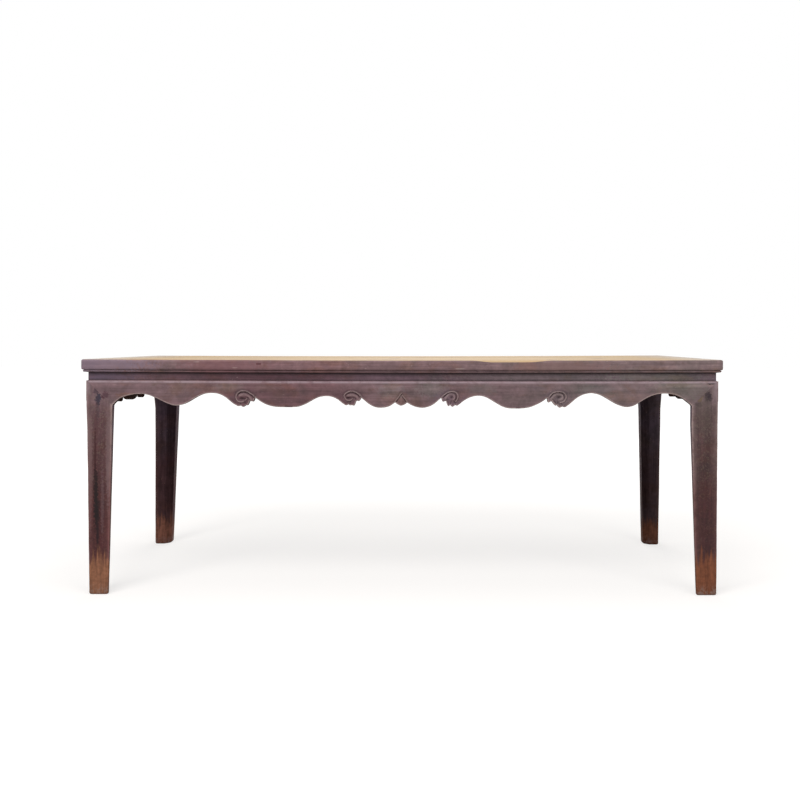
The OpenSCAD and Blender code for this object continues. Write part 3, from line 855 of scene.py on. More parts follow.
def lacquer_layers(add, place, axis, base, colours, seed=0.0, redness=1.0, lift=1.0, streaky=1.0):
    """Old lacquer on wood: slow changes of colour along the table, clouds, streaks along the grain,
    chips, dirt and painted shade, rubbed arrises and a painted highlight. Redness is how much
    redder it is left of the middle, lift is how much lighter at the right end, and streaky is how
    strong its streaks are. Gives its colour, its roughness and its height."""
    shift = (seed * 1.7, seed * 0.9, seed * 2.3)
    # Redder and darker left of the middle, greenish grey towards the right end
    slow = clouds(add, place, 3, 0.55, 0.3, scale=2.6, span=(0.25, 0.75, -0.16, 0.16))
    x = add("Math", (add("SeparateXYZ", (place,)), slow), **PLUS)
    red_from = add("Math", (add("Math", (x, 0.38), **PLUS),), **UNSIGNED)
    red_part = add("MapRange", (red_from, 0.14, 0.46, redness, 0.0), **SMOOTH)
    tint = add("Mix", {0: red_part, 6: WHITE, 7: rgba(colours.red_tint)}, **MIX)
    grey_part = add("MapRange", (x, 0.10, 0.65), **SMOOTH)
    tint = add("Mix", {0: grey_part, 6: tint, 7: rgba(colours.grey_tint)}, **MIX)
    colour = add("Mix", {0: 1.0, 6: base, 7: tint}, **TINT)
    colour = shaded(add, colour, add("MapRange", (x, 0.35, 0.95, 1.0, lift), **SMOOTH))
    # Clouds 60 to 150 mm across where the coat is thin and yellower, or dulled to greenish grey
    for scale, offset, tint in ((9, 0.0, colours.thin_tint), (7, 5.0, colours.dull_tint)):
        span = (0.48, 0.66, 0.0, 0.85)
        part = clouds(add, place, 4, 0.6, 0.4, scale, (1, 1, 1.8), (offset, 0, 0), span=span)
        colour = add("Mix", {0: part, 6: colour, 7: rgba(tint)}, **TINT)
    # Mottling 10 to 40 mm across
    mottle = clouds(add, place, 5, 0.66, 0.4, 30, shift=shift)
    light = add("MapRange", (mottle, 0.28, 0.72, 0.77, 1.20), **SMOOTH)
    # Streaks along the grain, 1 to 3 mm and 5 to 12 mm wide
    fine = clouds(add, place, 5, 0.62, stretch=along(axis, 190, 6), shift=shift)
    wide = clouds(add, place, 4, 0.55, stretch=along(axis, 56, 2.2), shift=shift)
    soft, hard = 1 - 0.16 * streaky, 1 + 0.15 * streaky
    for streaks, low, high in ((fine, 0.25, 0.75), (wide, 0.3, 0.7)):
        streaks = add("MapRange", (streaks, low, high, soft, hard), **SMOOTH)
        light = add("Math", (light, streaks), **TIMES)
    colour = shaded(add, colour, light)
    # Pale flecks where the lacquer is chipped, 2 to 5 mm across
    flecks = clouds(add, place, 3, 0.5, stretch=along(axis, 330, 110), shift=shift)
    chance = clouds(add, place, 3, 0.6, scale=9, shift=shift, span=(0.45, 0.7))
    chip = add("Math", (add("MapRange", (flecks, 0.64, 0.72), **SMOOTH), chance), **TIMES)
    faint = add("Math", (chip, 0.45), **TIMES)
    colour = add("Mix", {0: faint, 6: colour, 7: rgba(colours.worn)}, **MIX)
    # Dirt and painted shade in cuts and corners, rubbed arrises, and the painted shoulder highlight
    deep = add("MapRange", (mottle, 0.2, 0.75, 1.0, 0.78), **SMOOTH)
    patchy = clouds(add, place, 4, 0.65, scale=34, shift=shift, span=(0.30, 0.58, 0.45, 1.0))
    layers = (
        ("dirt", deep, 0.92, colours.dirt),
        ("wear", patchy, 0.9, colours.worn),
        ("painted_highlight", patchy, 0.9, colours.painted_highlight),
    )
    for name, uneven, most, tone in layers:
        part = add("Attribute", out="Fac", attribute_name=name)
        part = add("Math", (add("Math", (part, uneven), **TIMES), most), use_clamp=True, **TIMES)
        colour = add("Mix", {0: part, 6: colour, 7: rgba(tone)}, **MIX)
    roughness = add("MapRange", (mottle, 0.2, 0.8, 0.46, 0.64), **SMOOTH)
    height = add("Math", (add("Math", (fine, 0.6), **TIMES), chip), **MINUS)
    height = add("Math", (height, add("Math", (mottle, 0.5), **TIMES)), **PLUS)
    return colour, roughness, height


def bare_layers(add, place, axis, colours, tone, seed):
    """Bare old softwood worn pale: long grain, tan bands, grey stains and fine cracks."""
    shift = (seed * 0.6, seed * 1.3, seed)
    bands = clouds(add, place, 4, 0.6, 0.6, stretch=along(axis, 26, 1.1), shift=shift)
    lines = clouds(add, place, 5, 0.6, 0.3, stretch=along(axis, 210, 3.2), shift=shift)
    tanned = add("MapRange", (bands, 0.38, 0.7), **SMOOTH)
    colour = add("Mix", {0: tanned, 6: rgba(colours.pale), 7: rgba(colours.tan)}, **MIX)
    # Bleached and greyer towards both ends
    far = add("Math", (add("SeparateXYZ", (place,)),), **UNSIGNED)
    far = add("MapRange", (far, 0.92, 1.14), **SMOOTH)
    stain = clouds(add, place, 4, 0.6, 0.4, 4.2, span=(0.56, 0.82, 0, 0.4))
    stain = add("Math", (far, stain), **LARGER)
    colour = add("Mix", {0: stain, 6: colour, 7: rgba(colours.grey)}, **MIX)
    light = add("MapRange", (lines, 0.25, 0.78, 1.07, 0.86), **SMOOTH)
    colour = shaded(add, colour, add("Math", (light, tone), **TIMES))
    cracks = clouds(add, place, 2, 0.5, stretch=along(axis, 95, 1.6), shift=shift)
    crack = add("MapRange", (cracks, 0.70, 0.73), **SMOOTH)
    faint = add("Math", (crack, 0.55), **TIMES)
    colour = add("Mix", {0: faint, 6: colour, 7: rgba(colours.crack)}, **MIX)
    height = add("Math", (add("Math", (lines, -0.7), **TIMES), crack), **MINUS)
    return colour, add("MapRange", (bands, 0.2, 0.8, 0.66, 0.8), **SMOOTH), height


def lacquered(name, axis, colours, base, seed, lift, fade=0.0, marks=None):
    """Lacquer over wood, brushed on in coats and dulled: half matt, cloudy and streaked. The last
    factor is painted light and shade: how much darker an apron gets from its top to its lower edge."""
    material, add, place = new_material(name)
    base = marked(add, place, rgba(base), marks)
    colour, rough, height = lacquer_layers(add, place, axis, base, colours, seed, lift=lift)
    # Painted light and shade: lighter under an apron's shoulder and darker lower down
    if fade:
        z = add("SeparateXYZ", (place,), out=2)
        low, high = APRON_Z - 40 * MM, APRON_Z - 6 * MM
        light = add("MapRange", (z, low, high, 1 - fade, 1 + 0.5 * fade), **SMOOTH)
        colour = shaded(add, colour, light)
    close_material(add, colour, rough, height, strength=0.35, distance=0.6 * MM)
    return material


def lacquered_leg(name, colours, low_tint, foot, worn_to, marks=None, inside=None, sheen=0.22):
    """The legs' lacquer: redder and darker downwards, and worn through to orange wood at the
    feet, up to a height in metres. Inside is the one colour of the inner copies: dusty and
    darkened with painted shade on faces turned inwards, and painted lighter, as lit from the
    side, on faces turned to the other end."""
    seed = 3.0
    material, add, place = new_material(name)
    z = add("SeparateXYZ", (place,), out=2)
    # Inner copies: one colour and darker speckles, for dust, painted shade and side light
    if inside:
        base, speckle = rgba(inside), colours.inner_speckle
    else:
        upper = add("MapRange", (z, 0.62, 0.71), **SMOOTH)
        base = add("Mix", {0: upper, 6: rgba(colours.leg), 7: rgba(colours.apron)}, **MIX)
        speckle = colours.speckle
    colour, rough, height = lacquer_layers(add, place, "Z", base, colours, seed, streaky=1.4)
    # Crazed olive speckles 3 to 6 mm across
    crazed = clouds(add, place, 3, 0.7, scale=170, span=(0.50, 0.66, 0.0, 0.30))
    colour = add("Mix", {0: crazed, 6: colour, 7: rgba(speckle)}, **MIX)
    # The height at which the lacquer ends is ragged
    level = z
    for stretch, detail, up in (((110, 110, 8), 4, 0.030), ((22, 22, 5), 3, 0.022)):
        span = (0.25, 0.75, up, -up)
        wander = clouds(add, place, detail, 0.6, stretch=stretch, shift=(seed, 0, 0), span=span)
        level = add("Math", (level, wander), **PLUS)
    low = add("MapRange", (level, 0.28, 0.62, 1.0, 0.0), **SMOOTH)
    colour = add("Mix", {0: low, 6: colour, 7: rgba(linear(low_tint))}, **TINT)
    colour = marked(add, place, colour, marks)
    span = (0.25, 0.75, 0.70, 1.24)
    streaks = clouds(add, place, 5, 0.6, stretch=along("Z", 170, 10), shift=(seed, 2, 1), span=span)
    mottle = clouds(add, place, 4, 0.65, scale=75)
    light = add("MapRange", (mottle, 0.25, 0.75, 0.74, 1.20), **SMOOTH)
    light = add("Math", (streaks, light), **TIMES)
    orange = shaded(add, rgba(linear(foot)), light)
    scuffed = add("MapRange", (z, 0.010, 0.045, 1.0, 0.0), **SMOOTH)
    patchy = add("MapRange", (mottle, 0.42, 0.6), **SMOOTH)
    scuffed = add("Math", (add("Math", (scuffed, patchy), **TIMES), 0.6), **TIMES)
    orange = add("Mix", {0: scuffed, 6: orange, 7: rgba(colours.scuff)}, **MIX)
    # Inner copies darken the foot too, as painted shade
    if inside:
        orange = add("Mix", {0: 1.0, 6: orange, 7: rgba(colours.inside_foot)}, **TINT)
    soft = 26 * MM
    bare = add("MapRange", (level, worn_to - soft, worn_to + soft, 1.0, 0.0), **SMOOTH)
    colour = add("Mix", {0: bare, 6: colour, 7: orange}, **MIX)
    close_material(add, colour, rough, height, 0.35, 0.6 * MM, specular=sheen)
    return material


def part_bare(name, axis, colours, tone, seed, marks=None):
    """A rail or board of the top: worn down to bare wood above, with lacquer left on its edge."""
    material, add, place = new_material(name)
    edge = rgba(colours.edge)
    lacquer = lacquer_layers(add, place, axis, edge, colours, seed, redness=0.5, lift=1.16)
    colour = marked(add, place, lacquer[0], marks)
    wood = bare_layers(add, place, axis, colours, tone, seed)
    x, y, z = add("SeparateXYZ", (place,), out=None)
    # How many millimetres under the top the lacquer has gone
    ragged = clouds(add, place, 5, 0.6, 0.3, 14, (1, 2, 0), span=(0.2, 0.8, -0.3, 0.3))
    slow = clouds(add, place, 3, 0.5, 0.0, 3.2, (1, 1, 0), (3, 0, 0), span=(0.3, 0.7, -0.1, 0.3))
    # Worn over the arris where people sat, right of the middle
    seat = add("Math", (add("Math", (x, 0.39), **MINUS),), **UNSIGNED)
    seat = add("MapRange", (seat, 0.06, 0.15, 6.4, 0.0), **SMOOTH)
    gone = add("Math", (add("Math", (ragged, slow), **PLUS), seat), **PLUS)
    # The top's level is the one to which the table's sag and tilt bring it
    bend = add("Math", (x, SAG / TOP_X**2), **TIMES)
    bend = add("Math", (bend, add("Math", (y, TWIST / TOP_X / TOP_Y), **TIMES)), **PLUS)
    bend = add("Math", (add("Math", (bend, LEAN / TOP_X), **PLUS), x), **TIMES)
    under = add("Math", (add("Math", (z, TOP_Z + SWELL), **MINUS), bend), **MINUS)
    under = add("Math", (under, 1 / MM), **TIMES)
    bareness = add("MapRange", (add("Math", (under, gone), **PLUS), -0.75, -0.4), **SMOOTH)
    colour = add("Mix", {0: bareness, 6: colour, 7: wood[0]}, **MIX)
    rough, height = [add("Mix", {0: bareness, 2: a, 3: b}) for a, b in zip(lacquer[1:], wood[1:])]
    close_material(add, colour, rough, height, 0.4, 0.6 * MM, specular=0.15)
    return material


def inner_wood(name, axis, colours, seed, stained=False):
    """Inner softwood, sawn and never finished, brown with age and dust. The aprons' backs were
    stained dark with the lacquer's first coat."""
    material, add, place = new_material(name)
    shift = (seed, seed * 0.4, 0)
    lines = clouds(add, place, 5, 0.6, 0.3, stretch=along(axis, 170, 4), shift=shift)
    bands = clouds(add, place, 4, 0.6, 0.5, stretch=along(axis, 24, 1.5), shift=shift)
    dark = add("MapRange", (bands, 0.3, 0.7), **SMOOTH)
    colour = add("Mix", {0: dark, 6: rgba(colours.inner), 7: rgba(colours.inner_dark)}, **MIX)
    if stained:
        colour = add("Mix", {0: 1.0, 6: colour, 7: rgba(colours.stain)}, **TINT)
    colour = shaded(add, colour, add("MapRange", (lines, 0.25, 0.75, 1.15, 0.75), **SMOOTH))
    rough = add("MapRange", (bands, 0.2, 0.8, 0.75, 0.9), **SMOOTH)
    close_material(add, colour, rough, lines, 0.5, 0.8 * MM, specular=0.05)
    return material


def colour_property(name, description, code):
    settings = {"name": name, "description": description, "default": linear(code)}
    return bpy.props.FloatVectorProperty(size=3, subtype="COLOR", min=0, max=1, **settings)


def length_property(name, description, default, least, most):
    return bpy.props.FloatProperty(
        name=name, description=description, default=default, min=least, max=most, unit="LENGTH"
    )


class TableSizes(bpy.types.PropertyGroup):
    """Sizes that change how worn and how uneven the table is."""

    arris: length_property(
        "Leg arris", "Radius to which the legs' outer arrises are worn", 3.2 * MM, 0.5 * MM, 8 * MM
    )
    inner_arris: length_property(
        "Inner leg arris", "Radius of the arrises beside the leg room", 3.6 * MM, 0.5 * MM, 8 * MM
    )
    wave: length_property(
        "Wave", "How far hand planing leaves the faces uneven", 0.6 * MM, 0, 3 * MM
    )


class TableColours(bpy.types.PropertyGroup):
    """Colours of the old lacquer, the bare wood and the dirt."""

    apron: colour_property("Apron lacquer", "Greyed purple brown of the aprons", "71595d")
    edge: colour_property("Edge lacquer", "Purple brown of the top's edge", "7b6265")
    waist: colour_property("Waist lacquer", "Darker lacquer of the waist", "5a454e")
    leg: colour_property("Leg lacquer", "Brown lacquer of the legs", "503639")
    red_tint: colour_property("Red stretch", "Tint of the redder stretch", "e8d5d8")
    grey_tint: colour_property("Grey stretch", "Tint of the greenish grey right end", "f3fffb")
    thin_tint: colour_property("Thin coat", "Tint where the coat is thin and yellower", "fff3e2")
    dull_tint: colour_property("Dull coat", "Tint where the coat has gone greenish grey", "e7f0ea")
    # Inside paints dust and shade on the legs' inner faces, side paints light from the side
    inside: colour_property("Inside of a leg", "Dusty dark faces turned to the inside", "4d3e49")
    side: colour_property("Side of a leg", "Inner faces turned to the other end", "66525f")
    speckle: colour_property("Speckles", "Olive speckles of a leg's crazed lacquer", "837667")
    # Darker speckles and foot tint of the inner faces, part of their painted shade
    inner_speckle: colour_property("Inner speckles", "Speckles of a leg's inner faces", "4f4446")
    inside_foot: colour_property("Inside of a foot", "Tint of a foot's inner faces", "e8dce6")
    worn: colour_property("Rubbed arris", "Pinkish undercoat on rubbed arrises", "b09a97")
    # Colour of the painted highlight along the aprons' and legs' shoulder
    painted_highlight: colour_property("Shoulder highlight", "Lilac grey of the polished shoulder", "99868d")
    # Dirt, and painted shade in cuts, under the mouldings and on the legs' inner corner
    dirt: colour_property("Dirt", "Old dirt in cuts and corners", "2c2024")
    scuff: colour_property("Scuffed foot", "Grey bruises at the bottom of the feet", "7f7069")
    pale: colour_property("Bare wood", "Pale bare wood of the top", "cdb692")
    tan: colour_property("Tan bands", "Tan bands in the bare wood", "bf9f7c")
    grey: colour_property("Grey stains", "Bleached grey stains on the bare wood", "c5b8ab")
    crack: colour_property("Fine cracks", "Dirt in the bare wood's fine cracks", "5a4433")
    inner: colour_property("Inner wood", "Brown wood inside the table", "7a5a44")
    inner_dark: colour_property("Inner wood, dark", "Darker bands of the wood inside", "5d4434")
    stain: colour_property("Stain", "Tint of the stained backs of the aprons", "7b7384")


class TablePart:
    """What every operator that makes part of the table has in common."""

    bl_options = {"REGISTER", "UNDO"}

    def execute(self, context):
        self.build(context.scene.table_sizes, context.scene.table_colours)
        return {"FINISHED"}


class TABLE_OT_rails(TablePart, bpy.types.Operator):
    """Makes the four moulded and mitred rails of the top's frame"""

    bl_idname = "table.rails"
    bl_label = "Rails"

    def build(self, sizes, colours):
        long = {
            "front": part_bare("lacquered_rail_front", "X", colours, 0.98, 1.0, EDGE_MARKS),
            "back": part_bare("lacquered_rail_back", "X", colours, 0.98, 2.0),
        }
        end = part_bare("lacquered_rail_end", "Y", colours, 0.96, 4.0)
        for i, side in enumerate(SIDES):
            half_x, half_y, cuts = (TOP_X, TOP_Y, 100) if side in long else (TOP_Y, TOP_X, 48)
            obj = rail_piece(f"rail_{side}_piece", half_x, half_y, cuts)
            rail_marks(obj, half_x, half_y)
            turned(obj, i)
            hand_made(obj, 0.5 * sizes.wave, 0.14, i + 1)
            finished(obj, "lacquered_wood", long.get(side, end))


class TABLE_OT_boards(TablePart, bpy.types.Operator):
    """Makes the four bare boards of the floating top"""

    bl_idname = "table.boards"
    bl_label = "Boards"

    def build(self, sizes, colours):
        inner_x, inner_y = TOP_X - RAIL_W, TOP_Y - RAIL_W
        wide = inner_y / 2
        tongue_z = BOARD_Z + TONGUE_T
        steps_x, steps_y = 80, 12
        for i, tone in enumerate((0.91, 0.95, 0.88, 0.92)):
            finish = part_bare(f"bare_board_{i + 1}", "X", colours, tone, 7.0 + 3 * i)
            low_y = -inner_y + i * wide + (GAP if i == 0 else GAP / 2)
            high_y = -inner_y + (i + 1) * wide - (GAP if i == 3 else GAP / 2)
            low, high = (GAP - inner_x, low_y, BOARD_Z), (inner_x - GAP, high_y, TOP_Z)
            obj = box_piece(f"board_{i + 1}_piece", low, high)
            edit(obj)
            cut((0, 0, tongue_z), UP)
            outer = {0: [(0, -1)], 3: [(0, 1)]}.get(i, [])
            for sx, sy in [(-1, 0), (1, 0), *outer]:
                choose(
                    obj,
                    "FACE",
                    lambda f: f.normal.x * sx + f.normal.y * sy > 0.9 and middle(f).z < tongue_z,
                )
                bpy.ops.mesh.extrude_region_move(
                    TRANSFORM_OT_translate={"value": (sx * TONGUE_D, sy * TONGUE_D, 0)}
                )
            choose(obj, "EDGE", lambda e: all(v.co.z > TOP_Z - NEAR for v in e.verts))
            bpy.ops.mesh.bevel(offset=1.3 * MM, segments=3, affect="EDGES")
            for k in range(1, steps_x):
                cut((-inner_x + k * 2 * inner_x / steps_x, 0, 0), ALONG)
            for k in range(1, steps_y):
                cut((0, low_y + k * (high_y - low_y) / steps_y, 0), BACK)
            outward()
            done()
            co = points_of(obj)
            edges = [((-inner_x, y, TOP_Z), (inner_x, y, TOP_Z), 3 * MM) for y in (low_y, high_y)]
            mark(obj, "dirt", near_lines(co, edges))
            mark(obj, "wear", np.zeros(len(co)))
            # The boards have cupped a little between their edges
            across = (co[:, 1] - low_y) / (high_y - low_y) * 2 - 1
            up = (co[:, 2] - BOARD_Z) / (TOP_Z - BOARD_Z)
            co[:, 2] -= np.clip(up, 0, 1) * (1 - np.clip(across, -1, 1) ** 2) * 0.5 * MM
            put_points(obj, co)
            finished(obj, "bare_wood", finish)


class TABLE_OT_waists(TablePart, bpy.types.Operator):
    """Makes the four recessed strips of the waist"""

    bl_idname = "table.waists"
    bl_label = "Waist"

    def build(self, sizes, colours):
        low, high, tongue = APRON_Z / MM, RAIL_Z / MM, RAIL_Z / MM + 8
        thick = APRON_T / MM
        inset = RECESS / MM
        section = [(inset, z) for z in np.linspace(low + 0.8, high - 0.8, 6)]
        section += [(inset + 0.8, high), (inset + 4, high), (inset + 4, tongue)]
        section += [(inset + 12, tongue), (inset + 12, high), (thick, high), (thick, low)]
        section += [(inset + 0.8, low)]
        look = (colours, colours.waist, 2.0, 1.4)
        long = {
            "front": lacquered("lacquered_waist_front", "X", *look, marks=WAIST_MARKS),
            "back": lacquered("lacquered_waist_back", "X", *look),
        }
        end = lacquered("lacquered_waist_end", "Y", *look)
        for i, side in enumerate(SIDES):
            half_x, half_y, cuts = (LEG_X, LEG_Y, 90) if side in long else (LEG_Y, LEG_X, 40)
            obj = moulding(f"waist_{side}_piece", section, half_x, half_y, cuts)
            outward()
            done()
            co = points_of(obj)
            face = RECESS - half_y
            mark(obj, "wear", np.zeros(len(co)))
            # Painted shade under the rail's overhang and in the corner above the aprons' shoulder
            lines = [
                ((-half_x, face, z), (half_x, face, z), reach * MM)
                for z, reach in ((RAIL_Z, 5), (APRON_Z, 2.5))
            ]
            mark(obj, "dirt", 0.8 * near_lines(co, lines))
            turned(obj, i)
            hand_made(obj, 0.3 * sizes.wave, 0.12, i + 11)
            finished(obj, "lacquered_wood", long.get(side, end))


class TABLE_OT_aprons(TablePart, bpy.types.Operator):
    """Makes the four scalloped and carved aprons"""

    bl_idname = "table.aprons"
    bl_label = "Aprons"

    def build(self, sizes, colours):
        look = (colours, colours.apron, 3.0, 1.22, 0.1)
        finishes = [
            lacquered("lacquered_apron_front", "X", *look, APRON_MARKS),
            lacquered("lacquered_apron_back", "X", *look),
            lacquered("lacquered_apron_end", "Y", *look),
        ]
        back = inner_wood("stained_apron_back", "X", colours, 2.0, True)
        end_back = inner_wood("stained_apron_end_back", "Y", colours, 3.0, True)
        edges = outline(EDGE_START, LEFT_EDGE), outline(EDGE_START, RIGHT_EDGE)
        scrolls = [
            (-1, (147.3, 58.6), LEFT_INNER),
            (-1, (526.5, 58.6), LEFT_OUTER),
            (1, (138.9, 59.5), RIGHT_INNER),
            (1, (518, 59.5), RIGHT_OUTER),
        ]
        front = apron_piece("apron_front_piece", LEG_X, LEG_Y, edges, scrolls, True)
        rear = copy_of(front, "apron_back_piece", math.pi)
        edges = [outline(SHORT_START, SHORT_EDGE)] * 2
        scrolls = [(-1, (139, 68), LEFT_INNER), (1, (139, 68), RIGHT_INNER)]
        left = apron_piece("apron_left_piece", LEG_Y, LEG_X, edges, scrolls, False)
        right = copy_of(left, "apron_right_piece", math.pi / 2)
        turned(left, -1)
        # The right one was cut 5 mm shallower in its middle
        co = points_of(right)
        ease = np.clip((330 * MM - np.abs(co[:, 1])) / (130 * MM), 0, 1)
        low = np.clip((APRON_Z - 25 * MM - co[:, 2]) / (30 * MM), 0, 1)
        co[:, 2] += 5 * MM * ease * low
        put_points(right, co)
        for i, obj in enumerate((front, rear, left, right)):
            hand_made(obj, 0.4 * sizes.wave, 0.11, i + 21)
            finished(obj, "lacquered_wood", finishes[min(i, 2)], back if i < 2 else end_back)


class TABLE_OT_legs(TablePart, bpy.types.Operator):
    """Makes the four square corner legs, tapered on their inner sides"""

    bl_idname = "table.legs"
    bl_label = "Legs"

    def block(self, strip):
        """The front left leg: a tapered post, cut off at its inner corner and mitred on top."""
        x, y = -LEG_X, -LEG_Y
        past = 2 * MM
        obj = box_piece("leg_front_left_piece", (x, y, 0), (x + LEG_W, y + LEG_W, APRON_Z))
        edit(obj)
        cut((x, y, CUT_Z), UP)
        choose(obj, "VERT", lambda v: v.co.z < MM)
        ratio = FOOT_W / LEG_W
        bpy.ops.transform.resize(value=(ratio, ratio, 1), center_override=(x, y, 0))
        done()
        corner = box_piece("corner", (0, -LEG_W, -past), (2 * LEG_W, LEG_W, CUT_Z))
        co = points_of(corner)
        near = co[:, 0] < LEG_W
        reach = (FOOT_W + strip[1], LEG_W + strip[0])
        co[near, 0] = np.interp(co[near, 2], (0, CUT_Z), reach) * math.sqrt(0.5)
        across = np.column_stack([co[:, 0] - co[:, 1], co[:, 0] + co[:, 1]]) * math.sqrt(0.5)
        put_points(corner, np.column_stack([across + (x, y), co[:, 2]]))
        carve_away(obj, corner)
        for order in ([0, 1, 2], [1, 0, 2]):
            wedge = box_piece("wedge", (-past, -past, -past), (LEG_W + past, APRON_T, past))
            co = points_of(wedge)
            low_side = co[:, 2] < 0
            co[low_side, 2] = APRON_Z - co[low_side, 0] * (MITRE / LEG_W)
            co[~low_side, 2] = APRON_Z + past
            put_points(wedge, co[:, order] + (x, y, 0))
            edit(wedge)
            outward()
            done()
            carve_away(obj, wedge)
        return obj

    def shape(self, obj, sizes, strip):
        """Adds the hidden post on top, rounds the arrises and the foot, and cuts it finer."""
        x, y = -LEG_X, -LEG_Y
        edit(obj)
        outward()
        choose(obj, "FACE", lambda f: f.normal.z > 0.99 and abs(middle(f).z - APRON_Z) < 0.1 * MM)
        bpy.ops.mesh.extrude_region_move(
            TRANSFORM_OT_translate={"value": (0, 0, RAIL_Z - APRON_Z)}
        )
        ratio = POST_W / (LEG_W - APRON_T)
        centre = (x + APRON_T, y + APRON_T, 0)
        bpy.ops.transform.resize(value=(ratio, ratio, 1), center_override=centre)

        def upright(e):
            low, high = sorted(v.co.z for v in e.verts)
            return high - low > 0.3 and high < APRON_Z + MM

        def is_at(e, u, v):
            m = middle(e)
            up = min(m.z / CUT_Z, 1.0)
            wide = FOOT_W + (LEG_W - FOOT_W) * up
            spots = {"outer": 0, "edge": wide, "side": strip[1] + (strip[0] - strip[1]) * up}
            return abs(m.x - x - spots[u]) < 2 * MM and abs(m.y - y - spots[v]) < 2 * MM

        for u, v, radius, steps in (
            ("outer", "outer", sizes.arris, 4),
            ("edge", "outer", sizes.inner_arris, 4),
            ("edge", "side", 3 * MM, 3),
        ):
            choose(obj, "EDGE", lambda e: upright(e) and (is_at(e, u, v) or is_at(e, v, u)))
            bpy.ops.mesh.bevel(offset=radius, segments=steps, affect="EDGES")
        # Height and how far in, in mm, of the foot's rounded lower edge
        rounding = ((8, 0.0), (5.5, 0.5), (3.4, 1.4), (1.8, 2.6), (0.7, 4.2), (0, 6.2))
        for level, _ in rounding[:-1]:
            cut((x, y, level * MM), UP)
        centre = (x + FOOT_W / 2, y + FOOT_W / 2, 0)
        for level, inward in rounding[1:]:
            choose(obj, "VERT", lambda v: abs(v.co.z - level * MM) < 0.05 * MM)
            ratio = 1 - 2 * inward * MM / FOOT_W
            bpy.ops.transform.resize(value=(ratio, ratio, 1), center_override=centre)
        for k in range(1, 44):
            cut((x, y, (4 + 15.5 * k) * MM), UP)
        for inward in (8, 20, 33, 46, 58, 70, 82):
            cut((x + inward * MM, y, 0), ALONG)
            cut((x, y + inward * MM, 0), BACK)
        outward()
        done()

    def marks(self, obj, sx, sy):
        """Rubbed arrises, the dark joint with the aprons, painted shade and a painted highlight,
        and which copy of the finish each face takes, for the leg at one corner.
        """
        co = points_of(obj)
        local = np.column_stack([LEG_X - sx * co[:, 0], LEG_Y - sy * co[:, 1], co[:, 2]])
        inset = 0.8 * MM
        low, top = APRON_Z - MITRE, (0, 0, APRON_Z)
        wear = [
            ((inset, inset, 0), (inset, inset, APRON_Z), 2.6 * MM),
            ((FOOT_W - inset, inset, 0), (LEG_W - inset, inset, CUT_Z), 3.6 * MM),
            ((inset, FOOT_W - inset, 0), (inset, LEG_W - inset, CUT_Z), 3.6 * MM),
            ((LEG_W - inset, inset, CUT_Z), (LEG_W - inset, inset, low), 3.6 * MM),
        ]
        joint = [(top, (LEG_W, 0, low), 1.3 * MM), (top, (0, LEG_W, low), 1.3 * MM)]
        foot = [((0, 0, 0), end, 5 * MM) for end in ((FOOT_W, 0, 0), (0, FOOT_W, 0))]
        broad = [(start, end, 14 * MM) for start, end, _ in wear]
        hand = 1.0 if sy < 0 else 0.35
        soft = 0.26 * np.clip((low - local[:, 2]) / (60 * MM), 0, 1)
        worn = np.maximum(0.9 * near_lines(local, wear), soft * near_lines(local, broad))
        mark(obj, "wear", hand * worn)
        # Dark joints with the aprons and a dark line along the foot's lower edge
        dirt = np.maximum(0.2 * near_lines(local, joint), 0.7 * near_lines(local, foot))
        # Painted shade: the face cut off the inner corner is the darkest, less so near the foot
        u, v = local[:, 0], local[:, 1]
        inmost = bump((u - v) / MM, 24) * (u + v > 80 * MM) * (local[:, 2] < CUT_Z)
        shade_above_foot = np.clip(local[:, 2] / 0.16 - 0.4, 0, 1)
        mark(obj, "dirt", np.maximum(dirt, 0.6 * inmost * shade_above_foot))
        # Painted highlight along the leg's top, level with the aprons' shoulder
        mark(obj, "painted_highlight", bump((APRON_Z - local[:, 2]) / MM - HIGHLIGHT_Z, HIGHLIGHT_W))
        # Inward faces take the copy with painted shade, and those turned to the other end the copy
        # painted lighter, as if lit from the side
        for p in obj.data.polygons:
            c = p.center
            u, v = LEG_X - sx * c.x, LEG_Y - sy * c.y
            if u > 4 * MM and v > 4 * MM and c.z > MM:
                p.material_index = 2 if abs(p.normal.x) > 0.9 else 1

    def settle(self, obj, sx, shifts):
        """Moves a leg's faces along X below the mitre, to where an old leg has settled."""
        co = points_of(obj)
        down = np.clip((APRON_Z - MITRE - co[:, 2]) / (APRON_Z - MITRE), 0, 1)
        across = np.clip((LEG_X - sx * co[:, 0]) / LEG_W, 0, 1)
        outer = shifts[0] + (shifts[1] - shifts[0]) * down
        inner = shifts[2] + (shifts[3] - shifts[2]) * down
        ease = np.clip(down / 0.1, 0, 1)
        co[:, 0] += (outer + (inner - outer) * across) * ease * MM
        put_points(obj, co)

    def build(self, sizes, colours):
        legs = []
        for side, strip, sy in (("front", FRONT_STRIP, -1), ("back", BACK_STRIP, 1)):
            left = self.block(strip)
            self.shape(left, sizes, strip)
            if sy > 0:
                front = left
                left = copy_of(front, "leg_back_left_piece", flip=(1, -1, 1))
                bpy.data.objects.remove(front)
            legs.append((left, -1, sy))
            legs.append((copy_of(left, f"leg_{side}_right_piece", flip=(-1, 1, 1)), 1, sy))
        # Tint of the lower half outside and inside, colour and height of the bare foot, and marks
        tones = [
            ("d4a5a6", "ffe6cc", "8c5e46", 0.133, LEFT_MARKS),
            ("c6a3a4", "ffe6cc", "75452f", 0.133, RIGHT_MARKS),
            ("d4a5a6", "f6ddca", "8e6551", 0.100, None),
            ("c9a7a8", "e2d4c6", "6e4b38", 0.100, None),
        ]
        for i, (obj, sx, sy) in enumerate(legs):
            low_tint, inner_tint, *foot, marks = tones[i]
            name = obj.name.replace("_piece", "")
            look = (colours, inner_tint, *foot, None)
